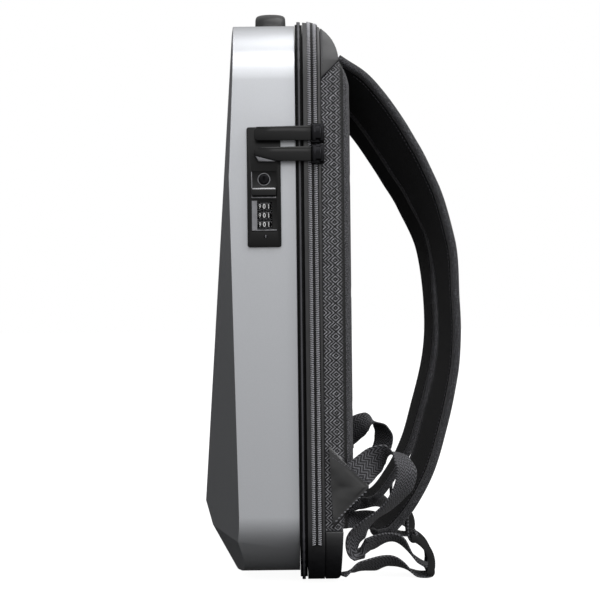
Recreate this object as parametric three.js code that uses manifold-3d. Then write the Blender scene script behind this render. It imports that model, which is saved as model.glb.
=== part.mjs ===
// Hard shell backpack: a faceted polycarbonate front shell closed by a zipper against a soft rear body,
// with a combination lock, a carry handle, two padded shoulder straps and their webbing and buckles.
// Millimetres, +Z up. X is the width, -Y is the shell's front and +Y is the wearer's side.
// The pieces are laid out from the parting plane (Y = 0) and the floor (Z = 0), and the whole is
// centred on its footprint at the end.

import * as THREE from 'three';
import { mergeVertices } from 'three/addons/utils/BufferGeometryUtils.js';
import Module from 'manifold-3d';

const wasm = await Module();
wasm.setup();

// Fits
const gap = 0.3;              // between pieces that touch
const runningGap = 0.35;      // round a moving piece
const overlap = 0.6;          // how far two volumes of one piece run into each other
const cutMargin = 4;          // how far a cutting volume stands past what it cuts

// Rear body
const rearWidth = 310;
const rearHeight = 479;
const rearCorner = 50;
const rearWall = 2.4;
const bandStart = 5.2;        // front edge of the smooth band
const bandEnd = 19.5;         // rear edge of the smooth band
const topRound = 43;          // radius of the top edge seen from the side
const topRoundStart = -8;     // where that round begins, from the parting plane
const cornerSteps = 8;

// Front shell
const shellStep = 5;          // how far the shell's sides lie inside the rear body's
const shellDrop = 1.6;        // how far the shell's top lies below the rear body's
const shellLift = 6;          // shell's lowest edge above the floor
const shellCorner = 54;
const shellDepth = 85.6;      // front-most ridge from the parting plane
const shellWall = 2.3;
const shellEdge = -1.5;       // rear edge of the shell

// Rim between the shell and the rear body
const gasketInset = 9;
const pipingStart = 0.3;
const pipingEnd = 3.2;
const lipInset = 2.2;

// Back panel and caps
const panelInset = 3;
const panelBack = 43.8;
const panelLowZ = 100.8;      // where the panel reaches its full depth above the bottom cap
const panelRoundDrop = 61;    // where its upper edge starts to round off, below the top
const panelBrowDrop = 51;     // where it goes under the cap, below the top
const panelBrowSink = 3.3;    // how much thinner the panel is there
const capDropFront = 56.5;    // lower edge of the top cap below the top, at the band
const capDropBack = 41;       // and at the back
const bottomCapTop = 48;
const bottomCapReach = 34.8;
const heelFront = 29.1;       // where the bottom cap's heel leaves the floor
const heelRearZ = 6.8;        // and where it meets the rear face
const channelWidth = 44;
const channelDepth = 5;
const channelLow = 92;
const channelDrop = 83;       // upper end of the channel below the top

// Zipper
const coilStart = 9;
const coilEnd = 17.6;
const coilRise = 0.8;
const coilLow = 36;
const sliderStart = 11;
const sliderEnd = 22.4;
const sliderHeight = 16.5;
const sliderThickness = 6.4;
const sliderCorner = 3;
const pullReach = 46;
const pullHeight = 11.4;
const pullThickness = 3.6;
const noseLength = 7;         // peg under a pull that goes into the lock
const noseHeight = 7.4;

// Lock
const lockWidth = 28;
const lockHeight = 99.5;
const lockCentreY = -28;
const lockBase = 284;
const dialsUp = 26.2;         // heights above the lock's base
const buttonUp = 45.7;
const keyUp = 56.3;
const lowerPullUp = 76.3;
const upperPullUp = 93.3;
const flangeThickness = 2.6;
const lockDepth = 15;
const lockRim = 2.2;
const lockCorner = 2;
const dialRadius = 6.2;
const dialHeight = 6.4;
const dialPitch = 7.5;
const dialCount = 3;
const dialShow = 0.5;         // how far a dial stands in front of the flange
const axleRadius = 1.4;
const windowWidth = 12.4;
const recessWidth = 20.6;
const recessDepth = 1.1;
const dialRecessHeight = 26.5;
const keyPanelHeight = 13;
const keyRadius = 3.9;
const keyDepth = 9;
const keySlotWidth = 1.1;
const keySlotLength = 4.6;
const boreSides = 12;
const keySides = 24;
const dialSides = 30;
const buttonWidth = 20.4;
const buttonHeight = 6.6;
const buttonRise = 2.2;
const buttonDepth = 4;
const buttonTravel = 1.6;

// Carry handle
const handleWidth = 27;
const handleCentreY = -23.3;
const handleThickness = 5.6;
const handleRise = 22.5;
const handleSpan = 128;
const handleSteps = 24;

// Shoulder straps
const strapWidth = 66;
const strapThickness = 7;
const strapReach = 136;       // furthest outer surface of the strap's middle from the parting plane
const strapSteps = 40;
const strapRim = 1.6;         // how far the thin edge of a strap is rounded in

// Webbing and buckles
const webWidth = 25;
const webThickness = 1.7;
const webSteps = 72;
const hangerSteps = 18;
const turnSteps = 5;
const wingThickness = 2.8;
const wingFront = 23.5;
const wingTop = 118.6;
const wingLow = 50.3;
const wingReach = 56;
const wingTipZ = 85;
const wingFoot = 3;           // length of the wing's short lower edge
const wingTipDrop = 2;        // how far the blunt tip runs down and up from its height
const wingTipRise = 1.5;
const lockBuckleX = 100;
const lockBuckleY = 88;
const lockBuckleRadius = 26;
const lockBuckleBand = 6;
const railThickness = 4.5;
const barRadius = 2.5;
const barSides = 10;
const webSlack = 0.8;         // side play of webbing in a buckle

const rearHalf = rearWidth / 2;
const shellHalf = rearHalf - shellStep;
const shellHeight = rearHeight - shellDrop - shellLift;
const capLowFront = rearHeight - capDropFront;
const capLowBack = rearHeight - capDropBack;
const dialMiddleZ = lockBase + dialsUp;
const buttonZ = lockBase + buttonUp;
const keyZ = lockBase + keyUp;

const colours = {
  shell: { color: 0xbfc2c6, roughness: 0.32, metalness: 0.35 },
  rim: { color: 0x1b1b1d, roughness: 0.6, metalness: 0 },
  coated: { color: 0x2b2b2e, roughness: 0.48, metalness: 0 },
  mesh: { color: 0x37373a, roughness: 0.9, metalness: 0 },
  webbing: { color: 0x222224, roughness: 0.85, metalness: 0 },
  gloss: { color: 0x0c0c0d, roughness: 0.15, metalness: 0 },
  moulded: { color: 0x161617, roughness: 0.4, metalness: 0 },
  dial: { color: 0x202022, roughness: 0.35, metalness: 0 },
};

const backpack = new THREE.Group();

// Solids in and out of the boolean library

function solidOf(geometry) {
  const bare = geometry.clone();
  bare.deleteAttribute('normal');
  bare.deleteAttribute('uv');
  const merged = mergeVertices(bare, 1e-4);
  const mesh = new wasm.Mesh({
    numProp: 3,
    vertProperties: new Float32Array(merged.attributes.position.array),
    triVerts: new Uint32Array(merged.index.array),
  });
  return new wasm.Manifold(mesh);
}

function geometryOf(solid) {
  const mesh = solid.getMesh();
  const geometry = new THREE.BufferGeometry();
  geometry.setAttribute('position', new THREE.BufferAttribute(mesh.vertProperties, 3));
  geometry.setIndex(new THREE.BufferAttribute(mesh.triVerts, 1));
  geometry.computeVertexNormals();
  return geometry;
}

function addPiece(name, solid, finish) {
  const material = new THREE.MeshStandardMaterial(colours[finish]);
  const mesh = new THREE.Mesh(geometryOf(solid), material);
  mesh.name = name;
  backpack.add(mesh);
}

// Basic volumes

// Corners of a rounded rectangle, each an arc of the same number of steps.
function roundedPoints(half, low, high, radius, steps = cornerSteps) {
  const r = Math.max(radius, 0.5);
  const corners = [
    [half - r, low + r, -Math.PI / 2],
    [half - r, high - r, 0],
    [-half + r, high - r, Math.PI / 2],
    [-half + r, low + r, Math.PI],
  ];
  return corners.flatMap(([x, z, from]) => {
    const arc = [];
    for (let i = 0; i <= steps; i += 1) {
      const angle = from + (i / steps) * (Math.PI / 2);
      arc.push(new THREE.Vector2(x + r * Math.cos(angle), z + r * Math.sin(angle)));
    }
    return arc;
  });
}

function roundedShape(half, low, high, radius, steps) {
  return new THREE.Shape(roundedPoints(half, low, high, radius, steps));
}

function extruded(shape, depth, steps = cornerSteps) {
  return new THREE.ExtrudeGeometry(shape, { depth, bevelEnabled: false, curveSegments: steps });
}

// A front view outline (X, Z) run from one Y to another.
function slab(shape, yLow, yHigh, steps) {
  const geometry = extruded(shape, yHigh - yLow, steps);
  geometry.rotateX(Math.PI / 2);
  geometry.translate(0, yHigh, 0);
  return solidOf(geometry);
}

// A side view outline (Y, Z) run from one X to another.
function sidePrism(shape, xLow, xHigh, steps) {
  const geometry = extruded(shape, xHigh - xLow, steps);
  const turn = new THREE.Matrix4().makeBasis(
    new THREE.Vector3(0, 1, 0),
    new THREE.Vector3(0, 0, 1),
    new THREE.Vector3(1, 0, 0),
  );
  geometry.applyMatrix4(turn);
  geometry.translate(xLow, 0, 0);
  return solidOf(geometry);
}

function block(xLow, xHigh, yLow, yHigh, zLow, zHigh) {
  const geometry = new THREE.BoxGeometry(xHigh - xLow, yHigh - yLow, zHigh - zLow);
  geometry.translate((xLow + xHigh) / 2, (yLow + yHigh) / 2, (zLow + zHigh) / 2);
  return solidOf(geometry);
}

function polygon(points) {
  return new THREE.Shape(points.map(([a, b]) => new THREE.Vector2(a, b)));
}

function uprightCylinder(radius, x, y, zLow, zHigh, sides) {
  const geometry = new THREE.CylinderGeometry(radius, radius, zHigh - zLow, sides);
  geometry.rotateX(Math.PI / 2);
  geometry.translate(x, y, (zLow + zHigh) / 2);
  return solidOf(geometry);
}

function crossCylinder(radius, xLow, xHigh, y, z, sides) {
  const geometry = new THREE.CylinderGeometry(radius, radius, xHigh - xLow, sides);
  geometry.rotateZ(Math.PI / 2);
  geometry.translate((xLow + xHigh) / 2, y, z);
  return solidOf(geometry);
}

// Closed skin over rings of points that all have the same count, ends capped by fans. The rings may
// run either way round: the faces are turned outwards here.
function skin(rings) {
  const count = rings[0].length;
  const points = rings.flat();
  let faces = [];
  for (let r = 0; r < rings.length - 1; r += 1) {
    for (let i = 0; i < count; i += 1) {
      const a = r * count + i;
      const b = r * count + ((i + 1) % count);
      faces.push([a, b, b + count], [a, b + count, a + count]);
    }
  }
  const last = (rings.length - 1) * count;
  for (let i = 1; i < count - 1; i += 1) {
    faces.push([0, i + 1, i], [last, last + i, last + i + 1]);
  }
  const normal = new THREE.Vector3();
  const volume = faces.reduce((sum, [a, b, c]) => (
    sum + points[a].dot(normal.crossVectors(points[b], points[c]))
  ), 0);
  if (volume < 0) faces = faces.map(([a, b, c]) => [a, c, b]);
  const geometry = new THREE.BufferGeometry().setFromPoints(points);
  geometry.setIndex(faces.flat());
  return solidOf(geometry);
}

// Rear body outline, shrunk by an inset, with the round top edge seen from the side.

function rearSolid(inset, yLow, yHigh) {
  const outline = roundedShape(rearHalf - inset, inset, rearHeight - inset, rearCorner - inset);
  const arcZ = rearHeight - topRound;
  const foremost = Math.min(yLow, topRoundStart) - cutMargin;
  const profile = new THREE.Shape();
  profile.moveTo(foremost, -cutMargin);
  profile.lineTo(topRoundStart + topRound - inset, -cutMargin);
  profile.lineTo(topRoundStart + topRound - inset, arcZ);
  profile.absarc(topRoundStart, arcZ, topRound - inset, 0, Math.PI / 2);
  profile.lineTo(foremost, rearHeight - inset);
  const side = sidePrism(profile, -rearHalf - cutMargin, rearHalf + cutMargin);
  return slab(outline, yLow, yHigh).intersect(side);
}

// Front of the shell: points of the facets, with x as a share of the half width, z as a share of the
// shell's height and y as a share of its depth.
const facetPoints = {
  topSide: { x: 1.013, z: 1.004, y: 0.593 },
  topInner: { x: 0.4, z: 1.004, y: 0.675 },
  apex: { x: 1.013, z: 0.729, y: 0.662 },
  brow: { x: 0.4, z: 0.729, y: 0.775 },
  ridge: { x: 0.4, z: 0.117, y: 1.0 },
  chin: { x: 0.52, z: 0.077, y: 0.916 },
  lowSide: { x: 1.013, z: 0.068, y: 0.592 },
  lowInner: { x: 0.62, z: -0.004, y: 0.642 },
  lowCorner: { x: 1.013, z: -0.004, y: 0.403 },
};

const sideFacets = [
  ['topSide', 'topInner', 'brow'],
  ['topSide', 'brow', 'apex'],
  ['apex', 'brow', 'ridge'],
  ['apex', 'ridge', 'chin'],
  ['apex', 'chin', 'lowSide'],
  ['lowSide', 'chin', 'lowInner'],
  ['lowSide', 'lowInner', 'lowCorner'],
];
const middleRows = ['topInner', 'brow', 'ridge', 'chin', 'lowInner'];
const rightEdge = ['topInner', 'topSide', 'apex', 'lowSide', 'lowCorner', 'lowInner'];

function facetBlock(shift, back) {
  const positions = [];
  const slots = new Map();
  const place = (name, side, isBack) => {
    const key = `${name} ${side} ${isBack}`;
    if (!slots.has(key)) {
      const p = facetPoints[name];
      const y = isBack ? back : -p.y * shellDepth + shift;
      slots.set(key, positions.length / 3);
      positions.push(side * p.x * shellHalf, y, shellLift + p.z * shellHeight);
    }
    return slots.get(key);
  };
  const index = [];
  const addBoth = (a, b, c) => {
    const front = [a, b, c].map(([name, side]) => place(name, side, false));
    const rear = [a, c, b].map(([name, side]) => place(name, side, true));
    index.push(...front, ...rear);
  };
  sideFacets.forEach(([a, b, c]) => {
    addBoth([a, 1], [b, 1], [c, 1]);
    addBoth([a, -1], [c, -1], [b, -1]);
  });
  for (let i = 0; i < middleRows.length - 1; i += 1) {
    const [high, low] = [middleRows[i], middleRows[i + 1]];
    addBoth([high, 1], [high, -1], [low, -1]);
    addBoth([high, 1], [low, -1], [low, 1]);
  }
  const loop = rightEdge.map((name) => [name, 1]);
  loop.push(...rightEdge.map((name) => [name, -1]).reverse());
  loop.forEach((from, i) => {
    const to = loop[(i + 1) % loop.length];
    const [a, b] = [place(...from, false), place(...to, false)];
    const [c, d] = [place(...to, true), place(...from, true)];
    index.push(a, b, c, a, c, d);
  });
  const geometry = new THREE.BufferGeometry();
  geometry.setAttribute('position', new THREE.Float32BufferAttribute(positions, 3));
  geometry.setIndex(index);
  return solidOf(geometry);
}

function shellVolume(inset, back) {
  const low = shellLift + inset;
  const high = shellLift + shellHeight - inset;
  const outline = roundedShape(shellHalf - inset, low, high, shellCorner - inset);
  const box = slab(outline, -shellDepth - cutMargin, back);
  return box.intersect(facetBlock(inset, back + cutMargin));
}

function makeShell() {
  const outer = shellVolume(0, shellEdge);
  const hollow = shellVolume(shellWall, shellEdge + cutMargin);
  const cutHalf = lockWidth / 2 - lockRim + gap;
  const cut = block(
    shellHalf - shellWall * 2, shellHalf + cutMargin,
    lockCentreY - cutHalf, lockCentreY + cutHalf,
    lockBase + lockRim - gap, lockBase + lockHeight - lockRim + gap,
  );
  addPiece('shell', outer.subtract(hollow).subtract(cut), 'shell');
}

function makeRim() {
  const lip = rearSolid(lipInset, shellEdge + gap, bandStart - gap);
  const piping = rearSolid(0, pipingStart, pipingEnd);
  const inside = rearSolid(gasketInset, shellEdge - cutMargin, bandStart + cutMargin);
  addPiece('rim_gasket', lip.add(piping).subtract(inside), 'rim');
}

function makeRearTray() {
  const outer = rearSolid(0, bandStart, bandEnd);
  const inner = rearSolid(rearWall, bandStart - cutMargin, bandEnd - rearWall);
  addPiece('rear_tray', outer.subtract(inner), 'coated');
}

// The top edge line of the back panel is the lower edge line of the top cap, one gap lower.
function capSlope() {
  return (capLowBack - capLowFront) / (topRoundStart + topRound - bandEnd);
}

function capVolume(grow) {
  const start = bandEnd + gap - grow;
  const end = topRoundStart + topRound + cutMargin;
  const zAt = (y) => capLowFront + capSlope() * (y - bandEnd) - grow;
  const profile = polygon([
    [start, zAt(start)],
    [end, zAt(end)],
    [end, rearHeight + cutMargin],
    [start, rearHeight + cutMargin],
  ]);
  const side = sidePrism(profile, -rearHalf - cutMargin, rearHalf + cutMargin);
  return rearSolid(-grow, start, end).intersect(side);
}

function bottomCapVolume(grow) {
  const start = bandEnd + gap - grow;
  const reach = bottomCapReach + grow;
  const profile = polygon([
    [start, -cutMargin],
    [heelFront + grow, -cutMargin],
    [heelFront + grow, -grow],
    [(heelFront + reach) / 2 + grow, heelRearZ / 3 - grow],
    [reach - gap * 6, heelRearZ],
    [reach, bottomCapTop + grow],
    [start, bottomCapTop + grow],
  ]);
  const side = sidePrism(profile, -rearHalf - cutMargin, rearHalf + cutMargin);
  return rearSolid(-grow, start, reach + cutMargin).intersect(side);
}

function makeCaps() {
  addPiece('top_cap', capVolume(0), 'coated');
  addPiece('bottom_cap', bottomCapVolume(0), 'coated');
}

// Rounding of the padded panel's rear edge: depth as a share of the panel's thickness and inset as a
// share of the same thickness.
const panelRounding = [
  { depth: 0, inset: 0 },
  { depth: 0.52, inset: 0 },
  { depth: 0.72, inset: 0.07 },
  { depth: 0.88, inset: 0.2 },
  { depth: 0.97, inset: 0.38 },
  { depth: 1, inset: 0.58 },
];

function outlineRing(inset, y) {
  const points = roundedPoints(rearHalf - inset, inset, rearHeight - inset, rearCorner - inset);
  return points.map((p) => new THREE.Vector3(p.x, y, p.y));
}

function panelVolume(grow) {
  const start = bandEnd + gap;
  const thickness = panelBack - start;
  const rings = panelRounding.map((row) => {
    const inset = panelInset + row.inset * thickness - grow;
    return outlineRing(inset, start + row.depth * (thickness + grow));
  });
  const pad = skin(rings);
  const topEdge = (y) => capLowFront - gap + capSlope() * (y - bandEnd) + grow;
  const knee = topRoundStart + topRound;
  const profile = polygon([
    [start - cutMargin, bottomCapTop + gap],
    [bottomCapReach + grow, bottomCapTop + gap],
    [panelBack + grow, panelLowZ],
    [panelBack + grow, rearHeight - panelRoundDrop],
    [panelBack - panelBrowSink + grow, rearHeight - panelBrowDrop],
    [knee + gap + grow, topEdge(knee)],
    [start - cutMargin, topEdge(start - cutMargin)],
  ]);
  return pad.intersect(sidePrism(profile, -rearHalf - cutMargin, rearHalf + cutMargin));
}

function makeBackPanel() {
  const channelHigh = rearHeight - channelDrop;
  const channelShape = roundedShape(channelWidth / 2, channelLow, channelHigh, channelWidth / 2 - gap);
  const channel = slab(channelShape, panelBack - channelDepth, panelBack + cutMargin);
  addPiece('back_panel', panelVolume(0).subtract(channel), 'mesh');
}

function makeZipper() {
  const outer = rearSolid(-gap - coilRise, coilStart, coilEnd);
  const inner = rearSolid(-gap, coilStart - cutMargin, coilEnd + cutMargin);
  const far = rearHalf * 2;
  const keep = block(-far, far, coilStart - cutMargin, coilEnd + cutMargin, coilLow, far * 2);
  addPiece('zipper_coil', outer.subtract(inner).intersect(keep), 'webbing');
  const sliderBase = rearHalf + gap * 2 + coilRise;
  const rows = [['upper', lockBase + upperPullUp], ['lower', lockBase + lowerPullUp]];
  rows.forEach(([name, z]) => {
    const shape = roundedShape(
      (sliderEnd - sliderStart) / 2, -sliderHeight / 2, sliderHeight / 2, sliderCorner,
    );
    const slider = sidePrism(shape, sliderBase, sliderBase + sliderThickness, 4);
    const middle = (sliderStart + sliderEnd) / 2;
    addPiece(`zip_slider_${name}`, slider.translate([0, middle, z]), 'gloss');
    const tip = sliderStart - gap;
    const low = z - pullHeight / 2;
    const high = z + pullHeight / 2;
    const bar = block(sliderBase, sliderBase + pullThickness, tip - pullReach, tip, low, high);
    const noseLow = shellHalf + gap * 2 + flangeThickness;
    const noseStart = lockCentreY - noseLength / 2;
    const nose = block(
      noseLow, sliderBase + overlap,
      noseStart, noseStart + noseLength, z - noseHeight / 2, z + noseHeight / 2,
    );
    addPiece(`zip_pull_${name}`, bar.add(nose), 'moulded');
  });
}

function makeLock() {
  const face = shellHalf + gap + flangeThickness;
  const low = lockBase;
  const high = lockBase + lockHeight;
  const halfY = lockWidth / 2;
  const flangeShape = roundedShape(halfY, low, high, lockCorner);
  const flange = sidePrism(flangeShape, shellHalf + gap, face, 3).translate([0, lockCentreY, 0]);
  const inner = block(
    face - lockDepth, shellHalf + gap + overlap,
    lockCentreY - halfY + lockRim, lockCentreY + halfY - lockRim,
    low + lockRim, high - lockRim,
  );
  const stack = dialCount * dialPitch;
  const dialX = face + dialShow - dialRadius;
  const pocketHalf = dialRadius + runningGap;
  const pocket = block(
    dialX - pocketHalf, face + cutMargin,
    lockCentreY - windowWidth / 2 - gap, lockCentreY + windowWidth / 2 + gap,
    dialMiddleZ - stack / 2, dialMiddleZ + stack / 2,
  );
  const axle = uprightCylinder(
    axleRadius, dialX, lockCentreY,
    dialMiddleZ - stack / 2 - overlap, dialMiddleZ + stack / 2 + overlap, boreSides,
  );
  const keyBore = crossCylinder(
    keyRadius + runningGap, face - keyDepth, face + cutMargin, lockCentreY, keyZ, keySides,
  );
  const buttonHole = block(
    face - buttonDepth - buttonTravel - gap, face + cutMargin,
    lockCentreY - buttonWidth / 2 - runningGap, lockCentreY + buttonWidth / 2 + runningGap,
    buttonZ - buttonHeight / 2 - runningGap, buttonZ + buttonHeight / 2 + runningGap,
  );
  const recess = (z, height) => block(
    face - recessDepth, face + cutMargin,
    lockCentreY - recessWidth / 2, lockCentreY + recessWidth / 2,
    z - height / 2, z + height / 2,
  );
  const housing = flange.add(inner)
    .subtract(recess(dialMiddleZ, dialRecessHeight))
    .subtract(recess(keyZ, keyPanelHeight))
    .subtract(pocket)
    .subtract(keyBore)
    .subtract(buttonHole)
    .add(axle);
  addPiece('lock_housing', housing, 'moulded');

  for (let i = 0; i < dialCount; i += 1) {
    const z = dialMiddleZ + ((dialCount - 1) / 2 - i) * dialPitch;
    const ring = uprightCylinder(
      dialRadius, dialX, lockCentreY, z - dialHeight / 2, z + dialHeight / 2, dialSides,
    );
    const bore = uprightCylinder(
      axleRadius + runningGap, dialX, lockCentreY,
      z - dialHeight, z + dialHeight, boreSides,
    );
    addPiece(`dial_${i + 1}`, ring.subtract(bore), 'dial');
  }

  const plug = crossCylinder(
    keyRadius, face - keyDepth + gap, face + gap, lockCentreY, keyZ, keySides,
  );
  const slot = block(
    face - keyDepth / 2, face + cutMargin,
    lockCentreY - keySlotWidth / 2, lockCentreY + keySlotWidth / 2,
    keyZ - keySlotLength / 2, keyZ + keySlotLength / 2,
  );
  addPiece('key_plug', plug.subtract(slot), 'gloss');

  const button = block(
    face - buttonDepth, face + buttonRise,
    lockCentreY - buttonWidth / 2, lockCentreY + buttonWidth / 2,
    buttonZ - buttonHeight / 2, buttonZ + buttonHeight / 2,
  );
  addPiece('release_button', button, 'gloss');
}

// Ribbons: a flat section carried along a curve. Each station has a place, the direction across the
// ribbon and the direction of its outer face.

function ribbon(stations, section) {
  const rings = stations.map((station) => section(station).map(([across, out]) => {
    const p = station.place.clone();
    p.addScaledVector(station.across, across);
    p.addScaledVector(station.out, out);
    return p;
  }));
  return skin(rings);
}

function flatSection(width, thickness) {
  return () => [
    [-width / 2, 0],
    [-width / 2, -thickness],
    [width / 2, -thickness],
    [width / 2, 0],
  ];
}

// Carry handle: half of its arch as shares of half the span and of the rise.
const handleArch = [
  { x: 1, z: 0 },
  { x: 0.98, z: 0.3 },
  { x: 0.9, z: 0.7 },
  { x: 0.74, z: 0.93 },
  { x: 0.5, z: 1 },
];

function makeHandle() {
  const base = shellLift + shellHeight + gap;
  const half = handleArch.map((row) => new THREE.Vector3(
    row.x * handleSpan / 2, handleCentreY, base + row.z * handleRise,
  ));
  const mirrored = half.map((p) => new THREE.Vector3(-p.x, p.y, p.z)).reverse();
  const curve = new THREE.CatmullRomCurve3([...half, ...mirrored], false, 'centripetal');
  const stations = [];
  for (let i = 0; i <= handleSteps; i += 1) {
    const t = i / handleSteps;
    const along = curve.getTangent(t);
    if (i === 0) along.set(0, 0, 1);
    if (i === handleSteps) along.set(0, 0, -1);
    stations.push({
      place: curve.getPoint(t),
      across: new THREE.Vector3(0, 1, 0),
      out: new THREE.Vector3(along.z, 0, -along.x),
    });
  }
  addPiece('carry_handle', ribbon(stations, flatSection(handleWidth, handleThickness)), 'rim');
}

// Middle of each strap's outer surface, from the top anchor to the tip: x as a share of the rear body's
// half width, y as a share of the strap's reach, z as a share of the rear body's height, the twist of
// each strap in degrees and its width as a share.
const strapRows = [
  { x: 0.45, y: 0.274, z: 0.916, right: 23, left: -12, width: 1 },
  { x: 0.45, y: 0.388, z: 0.894, right: 23, left: -13, width: 1 },
  { x: 0.455, y: 0.491, z: 0.861, right: 23, left: -14, width: 1 },
  { x: 0.46, y: 0.599, z: 0.817, right: 23, left: -14, width: 1 },
  { x: 0.465, y: 0.706, z: 0.767, right: 22, left: -13, width: 1 },
  { x: 0.47, y: 0.825, z: 0.706, right: 18, left: -11, width: 1 },
  { x: 0.48, y: 0.953, z: 0.609, right: 11, left: -6, width: 1 },
  { x: 0.49, y: 0.995, z: 0.494, right: 7, left: -3, width: 1 },
  { x: 0.5, y: 0.997, z: 0.424, right: 7, left: -3, width: 1 },
  { x: 0.51, y: 0.971, z: 0.363, right: 8, left: -3, width: 1 },
  { x: 0.52, y: 0.898, z: 0.279, right: 10, left: -3, width: 1 },
  { x: 0.53, y: 0.807, z: 0.195, right: 10, left: -2, width: 1 },
  { x: 0.54, y: 0.702, z: 0.139, right: 10, left: 0, width: 1 },
  { x: 0.55, y: 0.57, z: 0.089, right: 8, left: 0, width: 0.94 },
  { x: 0.56, y: 0.494, z: 0.077, right: 5, left: 0, width: 0.8 },
  { x: 0.56, y: 0.44, z: 0.075, right: 3, left: 0, width: 0.5 },
];

function rowValue(rows, name, t) {
  const at = t * (rows.length - 1);
  const i = Math.min(Math.floor(at), rows.length - 2);
  const f = at - i;
  const smooth = f * f * (3 - 2 * f);
  return rows[i][name] * (1 - smooth) + rows[i + 1][name] * smooth;
}

function strapSolid(side, grow = 0) {
  const twistName = side > 0 ? 'right' : 'left';
  const points = strapRows.map((row) => new THREE.Vector3(
    side * row.x * rearHalf, row.y * strapReach, row.z * rearHeight,
  ));
  const curve = new THREE.CatmullRomCurve3(points, false, 'centripetal');
  const stations = [];
  for (let i = 0; i <= strapSteps; i += 1) {
    const t = i / strapSteps;
    const along = curve.getTangent(t);
    const flatOut = new THREE.Vector3(0, -along.z, along.y).normalize();
    const sideways = new THREE.Vector3(side, 0, 0);
    const twist = THREE.MathUtils.degToRad(rowValue(strapRows, twistName, t));
    const across = sideways.clone().multiplyScalar(Math.cos(twist));
    across.addScaledVector(flatOut, Math.sin(twist));
    const out = flatOut.clone().multiplyScalar(Math.cos(twist));
    out.addScaledVector(sideways, -Math.sin(twist));
    stations.push({ place: curve.getPoint(t), across, out, width: rowValue(strapRows, 'width', t) });
  }
  const section = (station) => {
    const half = strapWidth * station.width / 2 + grow;
    const top = grow;
    const low = -strapThickness - grow;
    return [
      [-half + strapRim, top],
      [-half, top - strapRim],
      [-half, low + strapRim],
      [-half + strapRim, low],
      [half - strapRim, low],
      [half, low + strapRim],
      [half, top - strapRim],
      [half - strapRim, top],
    ];
  };
  return ribbon(stations, section);
}

// One length of webbing on each side: from the bag's bottom corner, round the buckle's lower bar and
// back, then up in a loop to the wing. Places are shares of the rear body's half width, the strap's
// reach and the rear body's height, and the direction across the webbing has no unit. The turn round
// the bar is worked out from the buckle.
const anchorRows = [
  { x: 0.8, y: 0.2469, z: 0.0121, ax: -1, ay: 0, az: 0 },
  { x: 0.77, y: 0.3555, z: 0.025, ax: -0.88, ay: 0, az: -0.45 },
  { x: 0.72, y: 0.4938, z: 0.028, ax: -0.8, ay: 0, az: -0.6 },
  { x: 0.66, y: 0.6123, z: 0.021, ax: -0.92, ay: 0, az: -0.35 },
  { x: 0.646, y: 0.7308, z: 0.0034, ax: -1, ay: 0, az: 0 },
];

const tailRows = [
  { x: 0.646, y: 0.7308, z: 0.0292, ax: -1, ay: 0, az: 0 },
  { x: 0.69, y: 0.6024, z: 0.0666, ax: -0.93, ay: 0, az: -0.36 },
  { x: 0.77, y: 0.4641, z: 0.0686, ax: -0.84, ay: 0.1, az: -0.52 },
  { x: 0.84, y: 0.345, z: 0.0605, ax: -0.8, ay: 0.5, az: -0.3 },
  { x: 0.87, y: 0.34, z: 0.0857, ax: -0.72, ay: 0.69, az: 0 },
  { x: 0.89, y: 0.4148, z: 0.1129, ax: -0.82, ay: 0.56, az: 0 },
  { x: 0.91, y: 0.5036, z: 0.1311, ax: -0.8, ay: 0.6, az: 0 },
  { x: 0.935, y: 0.5777, z: 0.1523, ax: -0.77, ay: 0.63, az: 0 },
  { x: 0.955, y: 0.6271, z: 0.1744, ax: -0.7, ay: 0.7, az: -0.1 },
  { x: 0.965, y: 0.6439, z: 0.1976, ax: -0.68, ay: 0.73, az: 0 },
  { x: 0.96, y: 0.6201, z: 0.2188, ax: -0.84, ay: 0.53, az: 0.07 },
  { x: 0.95, y: 0.5658, z: 0.2319, ax: -0.94, ay: 0.33, az: -0.1 },
  { x: 0.955, y: 0.5026, z: 0.2305, ax: -0.67, ay: 0.48, az: -0.56 },
  { x: 0.97, y: 0.4306, z: 0.2182, ax: -0.3, ay: 0.55, az: -0.78 },
  { x: 0.99, y: 0.3614, z: 0.2017, ax: 0, ay: 0.57, az: -0.82 },
  { x: 0.99, y: 0.3259, z: 0.1946, ax: 0, ay: 0.57, az: -0.82 },
];

// The buckle seen from the side: its three bars at angles on its arc, in radians.
const buckleMiddle = lockBuckleRadius - lockBuckleBand / 2;
const wrapRadius = barRadius + gap * 2 + webThickness / 2;
const lowBarAngle = -0.37;
const middleBarAngle = 0.35;
const topBarAngle = 1.2;
const railStartAngle = -0.42;
const railEndAngle = 1.3;

// How far the webbing and the hanger go round their bars, in radians.
const webTurn = { startAngle: -Math.PI * 0.5, endAngle: Math.PI * 0.6 };
const hangerTurn = { startAngle: -Math.PI * 0.9, endAngle: Math.PI * 0.35 };
const buckleZ = wrapRadius + webThickness / 2 + gap - buckleMiddle * Math.sin(lowBarAngle);

function barPlace(angle) {
  return {
    y: lockBuckleY + buckleMiddle * Math.cos(angle),
    z: buckleZ + buckleMiddle * Math.sin(angle),
  };
}

// Rows that carry webbing round a bar, from one angle to another.
function wrapRows(bar, turn) {
  const rows = [];
  for (let i = 0; i < turnSteps; i += 1) {
    const sweep = turn.endAngle - turn.startAngle;
    const angle = turn.startAngle + sweep * (i / (turnSteps - 1));
    rows.push({
      x: lockBuckleX / rearHalf,
      y: (bar.y + wrapRadius * Math.cos(angle)) / strapReach,
      z: (bar.z + wrapRadius * Math.sin(angle)) / rearHeight,
      ax: -1,
      ay: 0,
      az: 0,
    });
  }
  return rows;
}

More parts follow.
